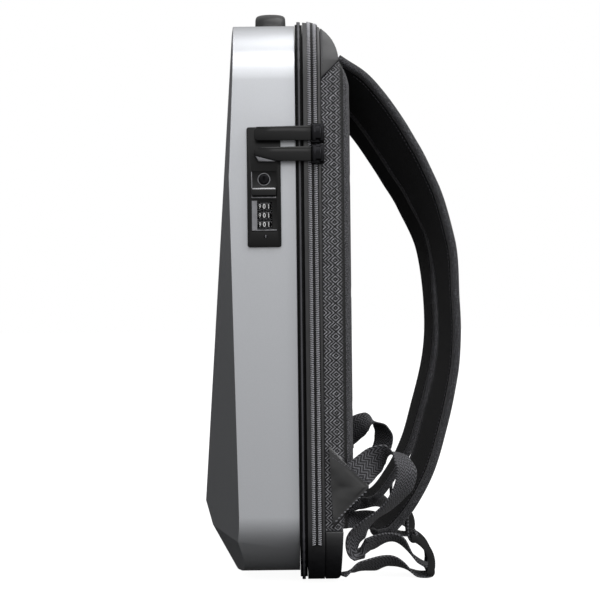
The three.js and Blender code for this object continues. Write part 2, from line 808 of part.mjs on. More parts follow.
// Short web from the strap's end: both runs of it lie on the strap and it turns round the top bar.
const hangerRows = [
  { x: 0.645, y: 0.6755, z: 0.12, ax: -1, ay: 0, az: 0 },
  { x: 0.645, y: 0.6715, z: 0.1008, ax: -1, ay: 0, az: 0 },
];

function webSolid(rows, steps) {
  const points = rows.map((row) => new THREE.Vector3(
    row.x * rearHalf, row.y * strapReach, row.z * rearHeight,
  ));
  const curve = new THREE.CatmullRomCurve3(points, false, 'centripetal');
  const stations = [];
  for (let i = 0; i <= steps; i += 1) {
    const t = i / steps;
    const along = curve.getTangent(t);
    const across = new THREE.Vector3(
      rowValue(rows, 'ax', t), rowValue(rows, 'ay', t), rowValue(rows, 'az', t),
    );
    across.addScaledVector(along, -across.dot(along)).normalize();
    const out = new THREE.Vector3().crossVectors(across, along).normalize();
    const place = curve.getPoint(t).addScaledVector(out, webThickness / 2);
    stations.push({ place, across, out });
  }
  return ribbon(stations, flatSection(webWidth, webThickness));
}

function buckleSolid(grow) {
  const inner = webWidth / 2 + webSlack - grow;
  const outer = lockBuckleRadius + grow;
  const shape = new THREE.Shape();
  shape.absarc(lockBuckleY, buckleZ, outer, railStartAngle, railEndAngle);
  shape.absarc(lockBuckleY, buckleZ, outer - lockBuckleBand - grow * 2, railEndAngle, railStartAngle, true);
  const thickness = railThickness + grow * 2;
  const rail = (x) => sidePrism(shape, x, x + thickness, cornerSteps);
  const left = lockBuckleX - inner - thickness;
  const right = lockBuckleX + inner;
  let buckle = rail(left).add(rail(right));
  [lowBarAngle, middleBarAngle, topBarAngle].forEach((angle) => {
    const { y, z } = barPlace(angle);
    const bar = crossCylinder(barRadius + grow, left + overlap, right + thickness - overlap, y, z, barSides);
    buckle = buckle.add(bar);
  });
  return buckle;
}

function wingSolid(grow) {
  const shape = polygon([
    [wingFront - grow, wingLow - grow],
    [wingFront + wingFoot, wingLow - grow],
    [wingReach + grow, wingTipZ - wingTipDrop - grow],
    [wingReach + grow, wingTipZ + wingTipRise + grow],
    [wingFront - grow, wingTop + grow * 2],
  ]);
  const start = rearHalf - panelInset + gap - grow;
  return sidePrism(shape, start, start + wingThickness + grow * 2);
}

// The right side is built at +X; the left one is its mirror image apart from the strap's twist.
function makeSide(name, side) {
  const placed = (solid) => (side > 0 ? solid : solid.mirror([1, 0, 0]));
  const strap = strapSolid(side).subtract(capVolume(gap)).subtract(panelVolume(gap));
  addPiece(`shoulder_strap_${name}`, strap, 'mesh');
  addPiece(`gusset_${name}`, placed(wingSolid(0)), 'coated');
  const lowTurn = wrapRows(barPlace(lowBarAngle), webTurn);
  const run = webSolid([...anchorRows, ...lowTurn, ...tailRows], webSteps)
    .subtract(bottomCapVolume(gap))
    .subtract(wingSolid(gap))
    .subtract(buckleSolid(gap));
  addPiece(`webbing_${name}`, placed(run), 'webbing');
  const topTurn = wrapRows(barPlace(topBarAngle), hangerTurn);
  const hanger = webSolid([...hangerRows, ...topTurn], hangerSteps).subtract(buckleSolid(gap));
  addPiece(`buckle_web_${name}`, placed(hanger).subtract(strapSolid(side, gap)), 'webbing');
  addPiece(`ladder_lock_${name}`, placed(buckleSolid(0)), 'moulded');
}

makeShell();
makeRim();
makeRearTray();
makeCaps();
makeBackPanel();
makeZipper();
makeLock();
makeHandle();
makeSide('right', 1);
makeSide('left', -1);

const extent = new THREE.Box3().setFromObject(backpack);
const footprint = extent.getCenter(new THREE.Vector3());
backpack.position.set(-footprint.x, -footprint.y, -extent.min.z);

export default backpack;
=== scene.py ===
# Looks of a hard shell backpack: a satin silver front shell, a zipped rear body of coated fabric and
# air mesh, a combination lock with two long pulls, a grip handle, padded straps and their webbing.
# Lengths are in millimetres from the parting plane (y), the floor (z) and the bag's middle (x), and
# at() turns them into the frame's metres.

import math

import bmesh
import bpy
import numpy as np
from mathutils import Matrix, Vector, noise


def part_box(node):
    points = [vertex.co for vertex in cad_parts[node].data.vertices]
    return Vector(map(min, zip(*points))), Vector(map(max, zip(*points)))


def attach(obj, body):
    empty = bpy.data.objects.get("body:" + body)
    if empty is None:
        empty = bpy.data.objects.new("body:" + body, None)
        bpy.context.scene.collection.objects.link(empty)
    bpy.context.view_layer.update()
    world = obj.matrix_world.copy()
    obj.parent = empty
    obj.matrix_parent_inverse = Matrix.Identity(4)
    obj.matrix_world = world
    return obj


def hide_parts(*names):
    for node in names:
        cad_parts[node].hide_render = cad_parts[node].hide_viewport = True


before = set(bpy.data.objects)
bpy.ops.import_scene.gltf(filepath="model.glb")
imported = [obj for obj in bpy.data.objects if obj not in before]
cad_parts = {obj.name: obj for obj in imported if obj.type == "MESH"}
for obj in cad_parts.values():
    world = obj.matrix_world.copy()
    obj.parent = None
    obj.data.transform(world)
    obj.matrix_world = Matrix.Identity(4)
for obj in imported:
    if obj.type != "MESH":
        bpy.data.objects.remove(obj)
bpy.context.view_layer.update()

MM = 0.001
BAG = "bag"

# Rear body
BAND_START = 5.2
BAND_END = 19.5
TOP_ROUND = 43
TOP_ROUND_START = -8
REAR_CORNER = 50
CORNER_STEPS = 14
SHELL_DROP = 1.6          # how far the shell's top is below the rear body's

tray_low, tray_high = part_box("rear_tray")
shell_low, shell_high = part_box("shell")
MIDDLE_X = (tray_low.x + tray_high.x) / 2
PARTING_Y = tray_low.y - BAND_START * MM
REAR_HALF = (tray_high.x - tray_low.x) / 2 / MM
REAR_HEIGHT = shell_high.z / MM + SHELL_DROP


def at(x, y, z):
    return Vector((MIDDLE_X + x * MM, PARTING_Y + y * MM, z * MM))


def local_box(node):
    """A solid's lowest and highest corners in the bag's millimetres."""
    low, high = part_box(node)
    origin = at(0, 0, 0)
    return (low - origin) / MM, (high - origin) / MM


# Colours and nodes


def linear(code):
    """An sRGB hex colour as linear RGBA."""
    parts = [int(code[i:i + 2], 16) / 255 for i in (1, 3, 5)]
    straight = [c / 12.92 if c <= 0.04045 else ((c + 0.055) / 1.055) ** 2.4 for c in parts]
    return (*straight, 1)


def add(tree, kind, settings=None, links=None):
    """Adds a node, with values for its properties and sockets and links from other nodes' sockets."""
    node = tree.nodes.new(kind)
    for name, value in (settings or {}).items():
        if isinstance(name, int) or name in node.inputs:
            node.inputs[name].default_value = value
        else:
            setattr(node, name, value)
    for name, source in (links or {}).items():
        tree.links.new(source, node.inputs[name])
    return node


def new_material(name):
    material = bpy.data.materials.new(name)
    material.use_nodes = True
    material.node_tree.nodes.clear()
    return material, material.node_tree


def finish_material(tree, shader):
    add(tree, "ShaderNodeOutputMaterial", links={"Surface": shader.outputs["BSDF"]})


def moulded_polycarbonate():
    """Moulded polycarbonate with a silver varnish: a satin sheen that rolls off slowly, with a fine
    metallic grain and a very slight moulding ripple."""
    material, tree = new_material("moulded polycarbonate")
    grain_size = 0.7 * MM
    ripple_size = 38 * MM
    where = add(tree, "ShaderNodeTexCoord").outputs["Object"]
    grain = add(tree, "ShaderNodeTexNoise", {"Scale": 1 / grain_size, "Detail": 2}, {"Vector": where})
    ripple = add(tree, "ShaderNodeTexNoise", {"Scale": 1 / ripple_size, "Detail": 1}, {"Vector": where})
    colour = add(
        tree, "ShaderNodeMix",
        {"data_type": "RGBA", 6: linear("#C2C4C8"), 7: linear("#CCCED2")},
        {0: grain.outputs["Fac"]},
    )
    rough = add(
        tree, "ShaderNodeMapRange", {"To Min": 0.30, "To Max": 0.40}, {"Value": grain.outputs["Fac"]},
    )
    wave = add(
        tree, "ShaderNodeBump", {"Strength": 0.12, "Distance": 1.2 * MM}, {"Height": ripple.outputs["Fac"]},
    )
    bump = add(
        tree, "ShaderNodeBump", {"Strength": 0.05, "Distance": 0.1 * MM},
        {"Height": grain.outputs["Fac"], "Normal": wave.outputs["Normal"]},
    )
    shader = add(
        tree, "ShaderNodeBsdfPrincipled",
        {"Metallic": 0.72, "IOR": 1.58, "Coat Weight": 0.25, "Coat Roughness": 0.3},
        {
            "Base Color": colour.outputs[2],
            "Roughness": rough.outputs["Result"],
            "Normal": bump.outputs["Normal"],
        },
    )
    finish_material(tree, shader)
    return material


def grained_material(name, dark, light, rough, grain, depth, soft=0.0, wrinkle=0.0, specular=0.5):
    """A dark moulded or coated surface: colour and roughness vary with a fine grain of the given size
    in millimetres, and a wide wrinkle may bend the sheen."""
    material, tree = new_material(name)
    where = add(tree, "ShaderNodeTexCoord").outputs["Object"]
    cells = add(tree, "ShaderNodeTexVoronoi", {"Scale": 1 / (grain * MM)}, {"Vector": where})
    cloud = add(tree, "ShaderNodeTexNoise", {"Scale": 1 / (grain * 9 * MM), "Detail": 4}, {"Vector": where})
    folds = add(tree, "ShaderNodeTexNoise", {"Scale": 1 / (26 * MM), "Detail": 2}, {"Vector": where})
    colour = add(
        tree, "ShaderNodeMix", {"data_type": "RGBA", 6: linear(dark), 7: linear(light)},
        {0: cloud.outputs["Fac"]},
    )
    roughness = add(
        tree, "ShaderNodeMapRange", {"To Min": rough - 0.06, "To Max": rough + 0.06},
        {"Value": cloud.outputs["Fac"]},
    )
    wide = add(
        tree, "ShaderNodeBump", {"Strength": wrinkle, "Distance": 2.5 * MM}, {"Height": folds.outputs["Fac"]},
    )
    bump = add(
        tree, "ShaderNodeBump", {"Strength": 0.5, "Distance": depth * MM},
        {"Height": cells.outputs["Distance"], "Normal": wide.outputs["Normal"]},
    )
    shader = add(
        tree, "ShaderNodeBsdfPrincipled",
        {"Sheen Weight": soft, "Sheen Roughness": 0.4, "Specular IOR Level": specular},
        {
            "Base Color": colour.outputs[2],
            "Roughness": roughness.outputs["Result"],
            "Normal": bump.outputs["Normal"],
        },
    )
    finish_material(tree, shader)
    return material


def plated_material(name, colour, rough):
    """Plated zinc casting: a mirror-like sheen with faint polishing marks."""
    material, tree = new_material(name)
    where = add(tree, "ShaderNodeTexCoord").outputs["Object"]
    marks = add(tree, "ShaderNodeTexNoise", {"Scale": 1 / (1.2 * MM), "Detail": 3}, {"Vector": where})
    roughness = add(
        tree, "ShaderNodeMapRange", {"To Min": rough, "To Max": rough + 0.1}, {"Value": marks.outputs["Fac"]},
    )
    bump = add(
        tree, "ShaderNodeBump", {"Strength": 0.1, "Distance": 0.1 * MM}, {"Height": marks.outputs["Fac"]},
    )
    shader = add(
        tree, "ShaderNodeBsdfPrincipled", {"Base Color": linear(colour), "Metallic": 1.0},
        {"Roughness": roughness.outputs["Result"], "Normal": bump.outputs["Normal"]},
    )
    finish_material(tree, shader)
    return material


WAVE_X = 0.314        # length of one wave of the wave texture at scale 1, along x
WAVE_DIAGONAL = 0.628  # the same, along the diagonal


def woven_webbing(name, dark, light, thread):
    """Woven webbing in a herringbone: yarns lean one way, then the other, across the band. The yarn is
    drawn a little coarser than the real one so that it shows."""
    material, tree = new_material(name)
    lay = add(tree, "ShaderNodeAttribute", {"attribute_name": "lay"})
    parts = add(tree, "ShaderNodeSeparateXYZ", links={"Vector": lay.outputs["Vector"]})
    band = 3.6
    fold = add(tree, "ShaderNodeMath", {"operation": "PINGPONG", 1: band}, {0: parts.outputs["Y"]})
    slant = add(
        tree, "ShaderNodeMath", {"operation": "ADD"}, {0: parts.outputs["X"], 1: fold.outputs["Value"]},
    )
    line = add(tree, "ShaderNodeCombineXYZ", links={"X": slant.outputs["Value"]})
    yarn = add(
        tree, "ShaderNodeTexWave", {"Scale": WAVE_X / thread, "Distortion": 0.6, "Detail": 1},
        {"Vector": line.outputs["Vector"]},
    )
    speck = add(
        tree, "ShaderNodeTexNoise", {"Scale": 0.9, "Detail": 2}, {"Vector": lay.outputs["Vector"]},
    )
    height = add(
        tree, "ShaderNodeMath", {"operation": "MULTIPLY"},
        {0: yarn.outputs["Fac"], 1: speck.outputs["Fac"]},
    )
    colour = add(
        tree, "ShaderNodeMix", {"data_type": "RGBA", 6: linear(dark), 7: linear(light)},
        {0: height.outputs["Value"]},
    )
    bump = add(
        tree, "ShaderNodeBump", {"Strength": 0.8, "Distance": 0.5 * MM}, {"Height": height.outputs["Value"]},
    )
    shader = add(
        tree, "ShaderNodeBsdfPrincipled",
        {"Roughness": 0.62, "Sheen Weight": 0.12, "Sheen Roughness": 0.4, "Specular IOR Level": 0.4},
        {"Base Color": colour.outputs[2], "Normal": bump.outputs["Normal"]},
    )
    finish_material(tree, shader)
    return material


def twill_mesh(name, dark, light, spacing):
    """Air mesh with a fine diagonal rib: nearly black, with thin paler lines that run on the slant."""
    material, tree = new_material(name)
    lay = add(tree, "ShaderNodeAttribute", {"attribute_name": "lay"})
    ribs = add(
        tree, "ShaderNodeTexWave",
        {"bands_direction": "DIAGONAL", "Scale": WAVE_DIAGONAL / spacing, "Distortion": 0.8, "Detail": 2},
        {"Vector": lay.outputs["Vector"]},
    )
    holes = add(
        tree, "ShaderNodeTexVoronoi", {"Scale": 1 / 1.1}, {"Vector": lay.outputs["Vector"]},
    )
    peak = add(
        tree, "ShaderNodeMapRange", {"From Min": 0.72, "From Max": 1.0}, {"Value": ribs.outputs["Fac"]},
    )
    height = add(
        tree, "ShaderNodeMath", {"operation": "MULTIPLY"},
        {0: peak.outputs["Result"], 1: holes.outputs["Distance"]},
    )
    colour = add(
        tree, "ShaderNodeMix", {"data_type": "RGBA", 6: linear(dark), 7: linear(light)},
        {0: height.outputs["Value"]},
    )
    bump = add(
        tree, "ShaderNodeBump", {"Strength": 0.6, "Distance": 0.5 * MM}, {"Height": holes.outputs["Distance"]},
    )
    shader = add(
        tree, "ShaderNodeBsdfPrincipled",
        {"Roughness": 0.8, "Sheen Weight": 0.05, "Specular IOR Level": 0.25},
        {"Base Color": colour.outputs[2], "Normal": bump.outputs["Normal"]},
    )
    finish_material(tree, shader)
    return material


def knitted_mesh(name, dark, light, cell, depth):
    """Knitted spacer mesh: small holes between lighter yarns, with broken bright specks."""
    material, tree = new_material(name)
    where = add(tree, "ShaderNodeTexCoord").outputs["Object"]
    cells = add(
        tree, "ShaderNodeTexVoronoi", {"feature": "DISTANCE_TO_EDGE", "Scale": 1 / (cell * MM)},
        {"Vector": where},
    )
    speck = add(tree, "ShaderNodeTexNoise", {"Scale": 1 / (cell * MM), "Detail": 3}, {"Vector": where})
    yarn = add(
        tree, "ShaderNodeMapRange", {"From Min": 0.16, "From Max": 0.02}, {"Value": cells.outputs["Distance"]},
    )
    lit = add(
        tree, "ShaderNodeMath", {"operation": "MULTIPLY"},
        {0: yarn.outputs["Result"], 1: speck.outputs["Fac"]},
    )
    colour = add(
        tree, "ShaderNodeMix", {"data_type": "RGBA", 6: linear(dark), 7: linear(light)},
        {0: lit.outputs["Value"]},
    )
    bump = add(
        tree, "ShaderNodeBump", {"Strength": 0.9, "Distance": depth * MM}, {"Height": lit.outputs["Value"]},
    )
    shader = add(
        tree, "ShaderNodeBsdfPrincipled",
        {"Roughness": 0.75, "Sheen Weight": 0.15, "Sheen Roughness": 0.5, "Specular IOR Level": 0.3},
        {"Base Color": colour.outputs[2], "Normal": bump.outputs["Normal"]},
    )
    finish_material(tree, shader)
    return material


def raised_mesh(name, dark, light):
    """Jacquard mesh: the raised ribs are paler than the ground between them. The ribs themselves are in
    the shape, and the attribute named rib says how high the yarn stands."""
    material, tree = new_material(name)
    where = add(tree, "ShaderNodeTexCoord").outputs["Object"]
    rib = add(tree, "ShaderNodeAttribute", {"attribute_name": "rib"})
    speck = add(tree, "ShaderNodeTexNoise", {"Scale": 1 / (1.6 * MM), "Detail": 3}, {"Vector": where})
    broken = add(
        tree, "ShaderNodeMapRange", {"From Min": 0.1, "From Max": 0.6}, {"Value": speck.outputs["Fac"]},
    )
    crest = add(tree, "ShaderNodeMath", {"operation": "POWER", 1: 2.2}, {0: rib.outputs["Fac"]})
    lit = add(
        tree, "ShaderNodeMath", {"operation": "MULTIPLY"},
        {0: crest.outputs["Value"], 1: broken.outputs["Result"]},
    )
    colour = add(
        tree, "ShaderNodeMix", {"data_type": "RGBA", 6: linear(dark), 7: linear(light)},
        {0: lit.outputs["Value"]},
    )
    bump = add(
        tree, "ShaderNodeBump", {"Strength": 0.6, "Distance": 0.4 * MM}, {"Height": speck.outputs["Fac"]},
    )
    shader = add(
        tree, "ShaderNodeBsdfPrincipled",
        {"Roughness": 0.65, "Sheen Weight": 0.1, "Specular IOR Level": 0.35},
        {"Base Color": colour.outputs[2], "Normal": bump.outputs["Normal"]},
    )
    finish_material(tree, shader)
    return material


POLYCARBONATE = moulded_polycarbonate()
SEALING_RUBBER = grained_material(
    "moulded sealing rubber", "#030304", "#060607", 0.6, 0.5, 0.05, specular=0.15,
)
PIPING = grained_material("extruded piping", "#39393D", "#4A4A4F", 0.42, 0.6, 0.05)
COATED = grained_material(
    "coated fabric", "#161618", "#1F1F22", 0.42, 0.55, 0.05, wrinkle=0.35, specular=0.8,
)
GUSSET_COAT = grained_material(
    "soft coated fabric", "#0C0C0D", "#141416", 0.3, 0.55, 0.04, wrinkle=0.7, specular=0.9,
)
KNIT = knitted_mesh("knitted spacer mesh", "#17171A", "#7C7C82", 1.3, 0.5)
JACQUARD = raised_mesh("jacquard mesh", "#070708", "#B4B4BA")
BINDING = knitted_mesh("textured binding tape", "#1B1B1D", "#6A6A6F", 1.3, 0.4)
STRAP_MESH = twill_mesh("ribbed air mesh", "#060607", "#2E2E32", 2.4)
STRAP_FACE = knitted_mesh("woven strap face", "#121214", "#2F2F33", 1.2, 0.3)
WEBBING = woven_webbing("woven webbing", "#020203", "#86868C", 3.0)
ZIP_TAPE = knitted_mesh("zipper tape", "#070708", "#161618", 0.9, 0.2)
NYLON_COIL = grained_material("nylon coil", "#8E8E93", "#B0B0B5", 0.3, 0.6, 0.03)
ABS = grained_material("moulded ABS", "#060607", "#0A0A0B", 0.34, 0.35, 0.03, specular=0.3)
GLOSS_ABS = grained_material("polished ABS", "#030304", "#060607", 0.14, 0.5, 0.01, specular=0.4)
# Grey ABS; the same grey also paints highlights on the lock's bevels and on the lower pull's chamfer.
GREY_ABS_AND_HIGHLIGHTS = grained_material("grey moulded ABS", "#6E6E72", "#8E8E92", 0.4, 0.6, 0.05)
SOFT_GRIP = grained_material("soft grip rubber", "#070708", "#0D0D0E", 0.3, 0.5, 0.04)
THREAD = grained_material("polyester thread", "#3A3A3E", "#5C5C62", 0.5, 0.4, 0.05)
PALE_THREAD = grained_material("pale polyester thread", "#66666B", "#8A8A90", 0.5, 0.4, 0.05)
WHITE_INK = grained_material("white pad-printed ink", "#DADADA", "#F2F2F2", 0.5, 0.4, 0.01)
BLACK_NICKEL = plated_material("black nickel plate", "#242426", 0.1)
# Used only for the strip on the release bar's top edge, which stands in for that edge's highlight: a painted
# highlight.
NICKEL_HIGHLIGHT = plated_material("bright nickel plate", "#C9C9CC", 0.22)

# Pieces


def new_piece(name, verts, faces, finishes, body=BAG, slot=None, stands_for=(), sharp=50, picks=None):
    """A mesh piece from points in metres. finishes is a material or a list, and picks gives each
    face's place in it."""
    mesh = bpy.data.meshes.new(name)
    mesh.from_pydata([tuple(v) for v in verts], [], [tuple(f) for f in faces])
    finishes = finishes if isinstance(finishes, (list, tuple)) else [finishes]
    for finish in finishes:
        mesh.materials.append(finish)
    if picks is not None:
        mesh.polygons.foreach_set("material_index", picks)
    mesh.polygons.foreach_set("use_smooth", [True] * len(mesh.polygons))
    mesh.set_sharp_from_angle(angle=math.radians(sharp))
    piece = bpy.data.objects.new(name, mesh)
    bpy.context.scene.collection.objects.link(piece)
    return ride_on(piece, body, stands_for)


def ride_on(piece, body, stands_for):
    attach(piece, body)
    if stands_for:
        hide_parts(*stands_for)
    return piece


def point_values(piece, name, values, kind="FLOAT_VECTOR"):
    """Stores a value on each point of a piece for its material to read."""
    layer = piece.data.attributes.new(name, kind, "POINT")
    field = "vector" if kind == "FLOAT_VECTOR" else "value"
    layer.data.foreach_set(field, np.asarray(values, np.float32).ravel())


def default_edges(edge):
    return edge.calc_face_angle(0) > math.radians(25)


def softened(node, name, finish, width, segments=2, body=BAG, pick=default_edges, weighted=False):
    """A copy of a hard solid with its edges rounded, as a mould or a folded edge leaves them."""
    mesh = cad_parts[node].data.copy()
    mesh.name = name
    form = bmesh.new()
    form.from_mesh(mesh)
    bmesh.ops.remove_doubles(form, verts=form.verts, dist=0.002 * MM)
    bmesh.ops.dissolve_limit(
        form, angle_limit=math.radians(0.6), verts=form.verts, edges=form.edges, use_dissolve_boundaries=False,
    )
    chosen = [edge for edge in form.edges if len(edge.link_faces) == 2 and pick(edge)]
    bmesh.ops.bevel(
        form, geom=chosen, offset=width * MM, offset_type="OFFSET", segments=segments, profile=0.5,
        affect="EDGES", clamp_overlap=True,
    )
    form.to_mesh(mesh)
    form.free()
    mesh.materials.clear()
    mesh.materials.append(finish)
    mesh.polygons.foreach_set("material_index", [0] * len(mesh.polygons))
    mesh.polygons.foreach_set("use_smooth", [True] * len(mesh.polygons))
    piece = bpy.data.objects.new(name, mesh)
    bpy.context.scene.collection.objects.link(piece)
    if weighted:
        modifier = piece.modifiers.new("Face weighted shading", "WEIGHTED_NORMAL")
        modifier.keep_sharp = False
        apply_modifiers(piece)
    else:
        mesh.set_sharp_from_angle(angle=math.radians(42))
    return ride_on(piece, body, (node,))


def apply_modifiers(piece):
    bpy.context.view_layer.update()
    graph = bpy.context.evaluated_depsgraph_get()
    mesh = bpy.data.meshes.new_from_object(piece.evaluated_get(graph))
    piece.modifiers.clear()
    piece.data = mesh


def block_part(low, high, bevel=0.6, segments=2):
    """Points and faces of a box with rounded edges, corners in the bag's millimetres."""
    form = bmesh.new()
    bmesh.ops.create_cube(form, size=1)
    for vert in form.verts:
        share = vert.co + Vector((0.5, 0.5, 0.5))
        place = [low[i] + (high[i] - low[i]) * share[i] for i in range(3)]
        vert.co = at(*place)
    bmesh.ops.bevel(
        form, geom=list(form.edges), offset=bevel * MM, segments=segments, profile=0.5, affect="EDGES",
    )
    return take_apart(form)


def prism_part(outline, x_low, x_high, bevel=0.5, segments=2):
    """Points and faces of a side view outline (y, z) run along x, with rounded edges."""
    form = bmesh.new()
    near = [form.verts.new(at(x_high, y, z)) for y, z in outline]
    far = [form.verts.new(at(x_low, y, z)) for y, z in outline]
    form.faces.new(near)
    form.faces.new(list(reversed(far)))
    for i, vert in enumerate(near):
        j = (i + 1) % len(near)
        form.faces.new((vert, far[i], far[j], near[j]))
    bmesh.ops.recalc_face_normals(form, faces=form.faces)
    edges = [edge for edge in form.edges if edge.calc_face_angle(0) > math.radians(20)]
    bmesh.ops.bevel(
        form, geom=edges, offset=bevel * MM, segments=segments, profile=0.5, affect="EDGES",
        clamp_overlap=True,
    )
    return take_apart(form)


def barrel_part(radius, start, end, sides=20, bevel=0.4):
    """Points and faces of a round bar between two places in the bag's millimetres."""
    form = bmesh.new()
    a, b = at(*start), at(*end)
    turn = (b - a).to_track_quat("Z", "Y").to_matrix().to_4x4()
    place = Matrix.Translation((a + b) / 2) @ turn
    bmesh.ops.create_cone(
        form, cap_ends=True, segments=sides, radius1=radius * MM, radius2=radius * MM,
        depth=(b - a).length, matrix=place,
    )
    edges = [edge for edge in form.edges if edge.calc_face_angle(0) > math.radians(60)]
    bmesh.ops.bevel(form, geom=edges, offset=bevel * MM, segments=2, profile=0.5, affect="EDGES")
    return take_apart(form)


def take_apart(form):
    form.verts.index_update()
    verts = [vert.co.copy() for vert in form.verts]
    faces = [[vert.index for vert in face.verts] for face in form.faces]
    form.free()
    return verts, faces


def gather(parts):
    """Several parts' points and faces as one list of each."""
    verts, faces = [], []
    for part_verts, part_faces in parts:
        start = len(verts)
        verts.extend(part_verts)
        faces.extend([[i + start for i in face] for face in part_faces])
    return verts, faces


# Curves, sweeps and stitches


def curve_point(points, t):
    """A place on the centripetal curve through the points, from 0 to 1."""
    last = len(points) - 1
    index = min(int(t * last), last - 1)
    weight = t * last - index
    p1, p2 = points[index], points[index + 1]
    p0 = points[index - 1] if index > 0 else 2 * p1 - p2
    p3 = points[index + 2] if index + 2 <= last else 2 * p2 - p1
    d0, d1, d2 = [math.sqrt((b - a).length) for a, b in ((p0, p1), (p1, p2), (p2, p3))]
    start = ((p1 - p0) / d0 - (p2 - p0) / (d0 + d1) + (p2 - p1) / d1) * d1
    end = ((p2 - p1) / d1 - (p3 - p1) / (d1 + d2) + (p3 - p2) / d2) * d1
    square = (p2 - p1) * 3 - start * 2 - end
    cube = (p1 - p2) * 2 + start + end
    return p1 + start * weight + square * weight ** 2 + cube * weight ** 3


def curve_tangent(points, t, step=0.0001):
    before = curve_point(points, max(t - step, 0))
    after = curve_point(points, min(t + step, 1))
    return (after - before).normalized()


def row_value(rows, name, t):
    place = t * (len(rows) - 1)
    index = min(int(place), len(rows) - 2)
    part = place - index
    smooth = part * part * (3 - 2 * part)
    return rows[index][name] * (1 - smooth) + rows[index + 1][name] * smooth


def sweep(stations, section):
    """Carries a closed section along stations. Gives points, faces, the lay of each point (how far
    along and across, in millimetres) and the section's place of each face, -1 on the ends."""
    verts, lay, faces, places = [], [], [], []
    gone = 0.0
    for i, station in enumerate(stations):
        if i:
            gone += (station["place"] - stations[i - 1]["place"]).length / MM
        for across, out in section(station):
            point = station["place"] + (station["across"] * across + station["out"] * out) * MM
            verts.append(point)
            lay.append((gone, across, out))
    count = len(verts) // len(stations)
    for r in range(len(stations) - 1):
        for i in range(count):
            a, b = r * count + i, r * count + (i + 1) % count
            faces.append((a, b, b + count, a + count))
            places.append(i)
    last = (len(stations) - 1) * count
    faces.append(tuple(reversed(range(count))))
    faces.append(tuple(range(last, last + count)))
    places.extend((-1, -1))
    return verts, faces, lay, places


def resample(points, pitch):
    """Places at even steps along a line of points, each with its direction."""
    lengths = [0.0]
    for a, b in zip(points, points[1:]):
        lengths.append(lengths[-1] + (b - a).length)
    total = lengths[-1]
    count = max(1, int(total / pitch))
    found, index = [], 0
    for i in range(count):
        want = (i + 0.5) * total / count
        while lengths[index + 1] < want:
            index += 1
        a, b = points[index], points[index + 1]
        part = (want - lengths[index]) / (lengths[index + 1] - lengths[index])
        found.append((a.lerp(b, part), (b - a).normalized()))
    return found


GRAIN_SIDES = 6


def grain_part(centre, along, length, radius):
    """A small rounded bar, such as a stitch or a zipper tooth. length and radius are in metres."""
    side = along.orthogonal().normalized()
    other = along.cross(side).normalized()
    verts = [centre - along * length / 2]
    for share in (-0.34, 0.34):
        for i in range(GRAIN_SIDES):
            angle = 2 * math.pi * i / GRAIN_SIDES
            spoke = side * math.cos(angle) + other * math.sin(angle)
            verts.append(centre + along * length * share + spoke * radius)
    verts.append(centre + along * length / 2)
    faces = []
    end = len(verts) - 1
    for i in range(GRAIN_SIDES):
        j = (i + 1) % GRAIN_SIDES
        faces.append((0, 1 + j, 1 + i))
        faces.append((1 + i, 1 + j, 1 + GRAIN_SIDES + j, 1 + GRAIN_SIDES + i))
        faces.append((1 + GRAIN_SIDES + i, 1 + GRAIN_SIDES + j, end))
    return verts, faces


def stitch_parts(points, pitch=3.2, length=2.3, radius=0.33, slant=None):
    """Stitches along a line of places in metres; slant turns each one towards a direction."""
    parts = []
    for place, along in resample(points, pitch * MM):
        way = along if slant is None else (along + slant).normalized()
        parts.append(grain_part(place, way, length * MM, radius * MM))
    return parts


def add_stitches(name, lines, finish=THREAD, **sizes):
    parts = [part for line in lines for part in stitch_parts(line, **sizes)]
    verts, faces = gather(parts)
    return new_piece(name, verts, faces, finish, slot="webbing")


def top_limit(y, inset=0):
    """How high the rear body reaches at a depth, under its rounded top edge."""
    arc = REAR_HEIGHT - TOP_ROUND
    radius = TOP_ROUND - inset
    depth = max(0.0, y - TOP_ROUND_START)
    return arc + math.sqrt(max(0.0, radius ** 2 - depth ** 2))


def rear_outline(y, inset=0):
    """The rear body's outline at a depth, a closed loop of places in metres."""
    radius = REAR_CORNER - inset
    half = REAR_HALF - inset - radius
    low, high = inset + radius, REAR_HEIGHT - inset - radius
    corners = ((half, low, -90), (half, high, 0), (-half, high, 90), (-half, low, 180))
    limit = top_limit(y, inset)
    loop = []
    for x, z, start in corners:
        for i in range(CORNER_STEPS + 1):
            angle = math.radians(start + 90 * i / CORNER_STEPS)
            loop.append(at(x + radius * math.cos(angle), y, min(z + radius * math.sin(angle), limit)))
    return loop


def bead(loop, radius, sides=10, closed=True):
    """A round cord along places in metres, in the plane of the outline."""
    stations = []
    count = len(loop)
    for i, place in enumerate(loop):
        before = loop[(i - 1) % count] if closed else loop[max(i - 1, 0)]
        after = loop[(i + 1) % count] if closed else loop[min(i + 1, count - 1)]
        along = (after - before).normalized()
        out = along.cross(Vector((0, 1, 0))).normalized()
        stations.append({"place": place, "across": Vector((0, 1, 0)), "out": out})
    ring = [
        (radius * math.cos(2 * math.pi * i / sides), radius * math.sin(2 * math.pi * i / sides))
        for i in range(sides)
    ]
    verts, faces, lay, places = sweep(stations, lambda station: ring)
    if closed:
        faces = faces[:-2]
        last = (count - 1) * sides
        faces += [(last + i, last + (i + 1) % sides, (i + 1) % sides, i) for i in range(sides)]
    return verts, faces


# Front shell


def facet_edges(edge):
    """Edges of the facets and of the rim, but not the steps of the rounded corners."""
    faces = edge.link_faces
    upright = all(abs(face.normal.y) < 0.02 for face in faces)
    return edge.calc_face_angle(0) > math.radians(28 if upright else 2)


def make_shell():
    softened("shell", "front_shell", POLYCARBONATE, 1.5, 3, pick=facet_edges, weighted=True)


def make_rim():
    softened("rim_gasket", "sealing_rim", SEALING_RUBBER, 0.5)
    verts, faces = bead(rear_outline(1.75, 1.25), 1.5)
    new_piece("rim_piping", verts, faces, PIPING, slot="rim")


# Rear body


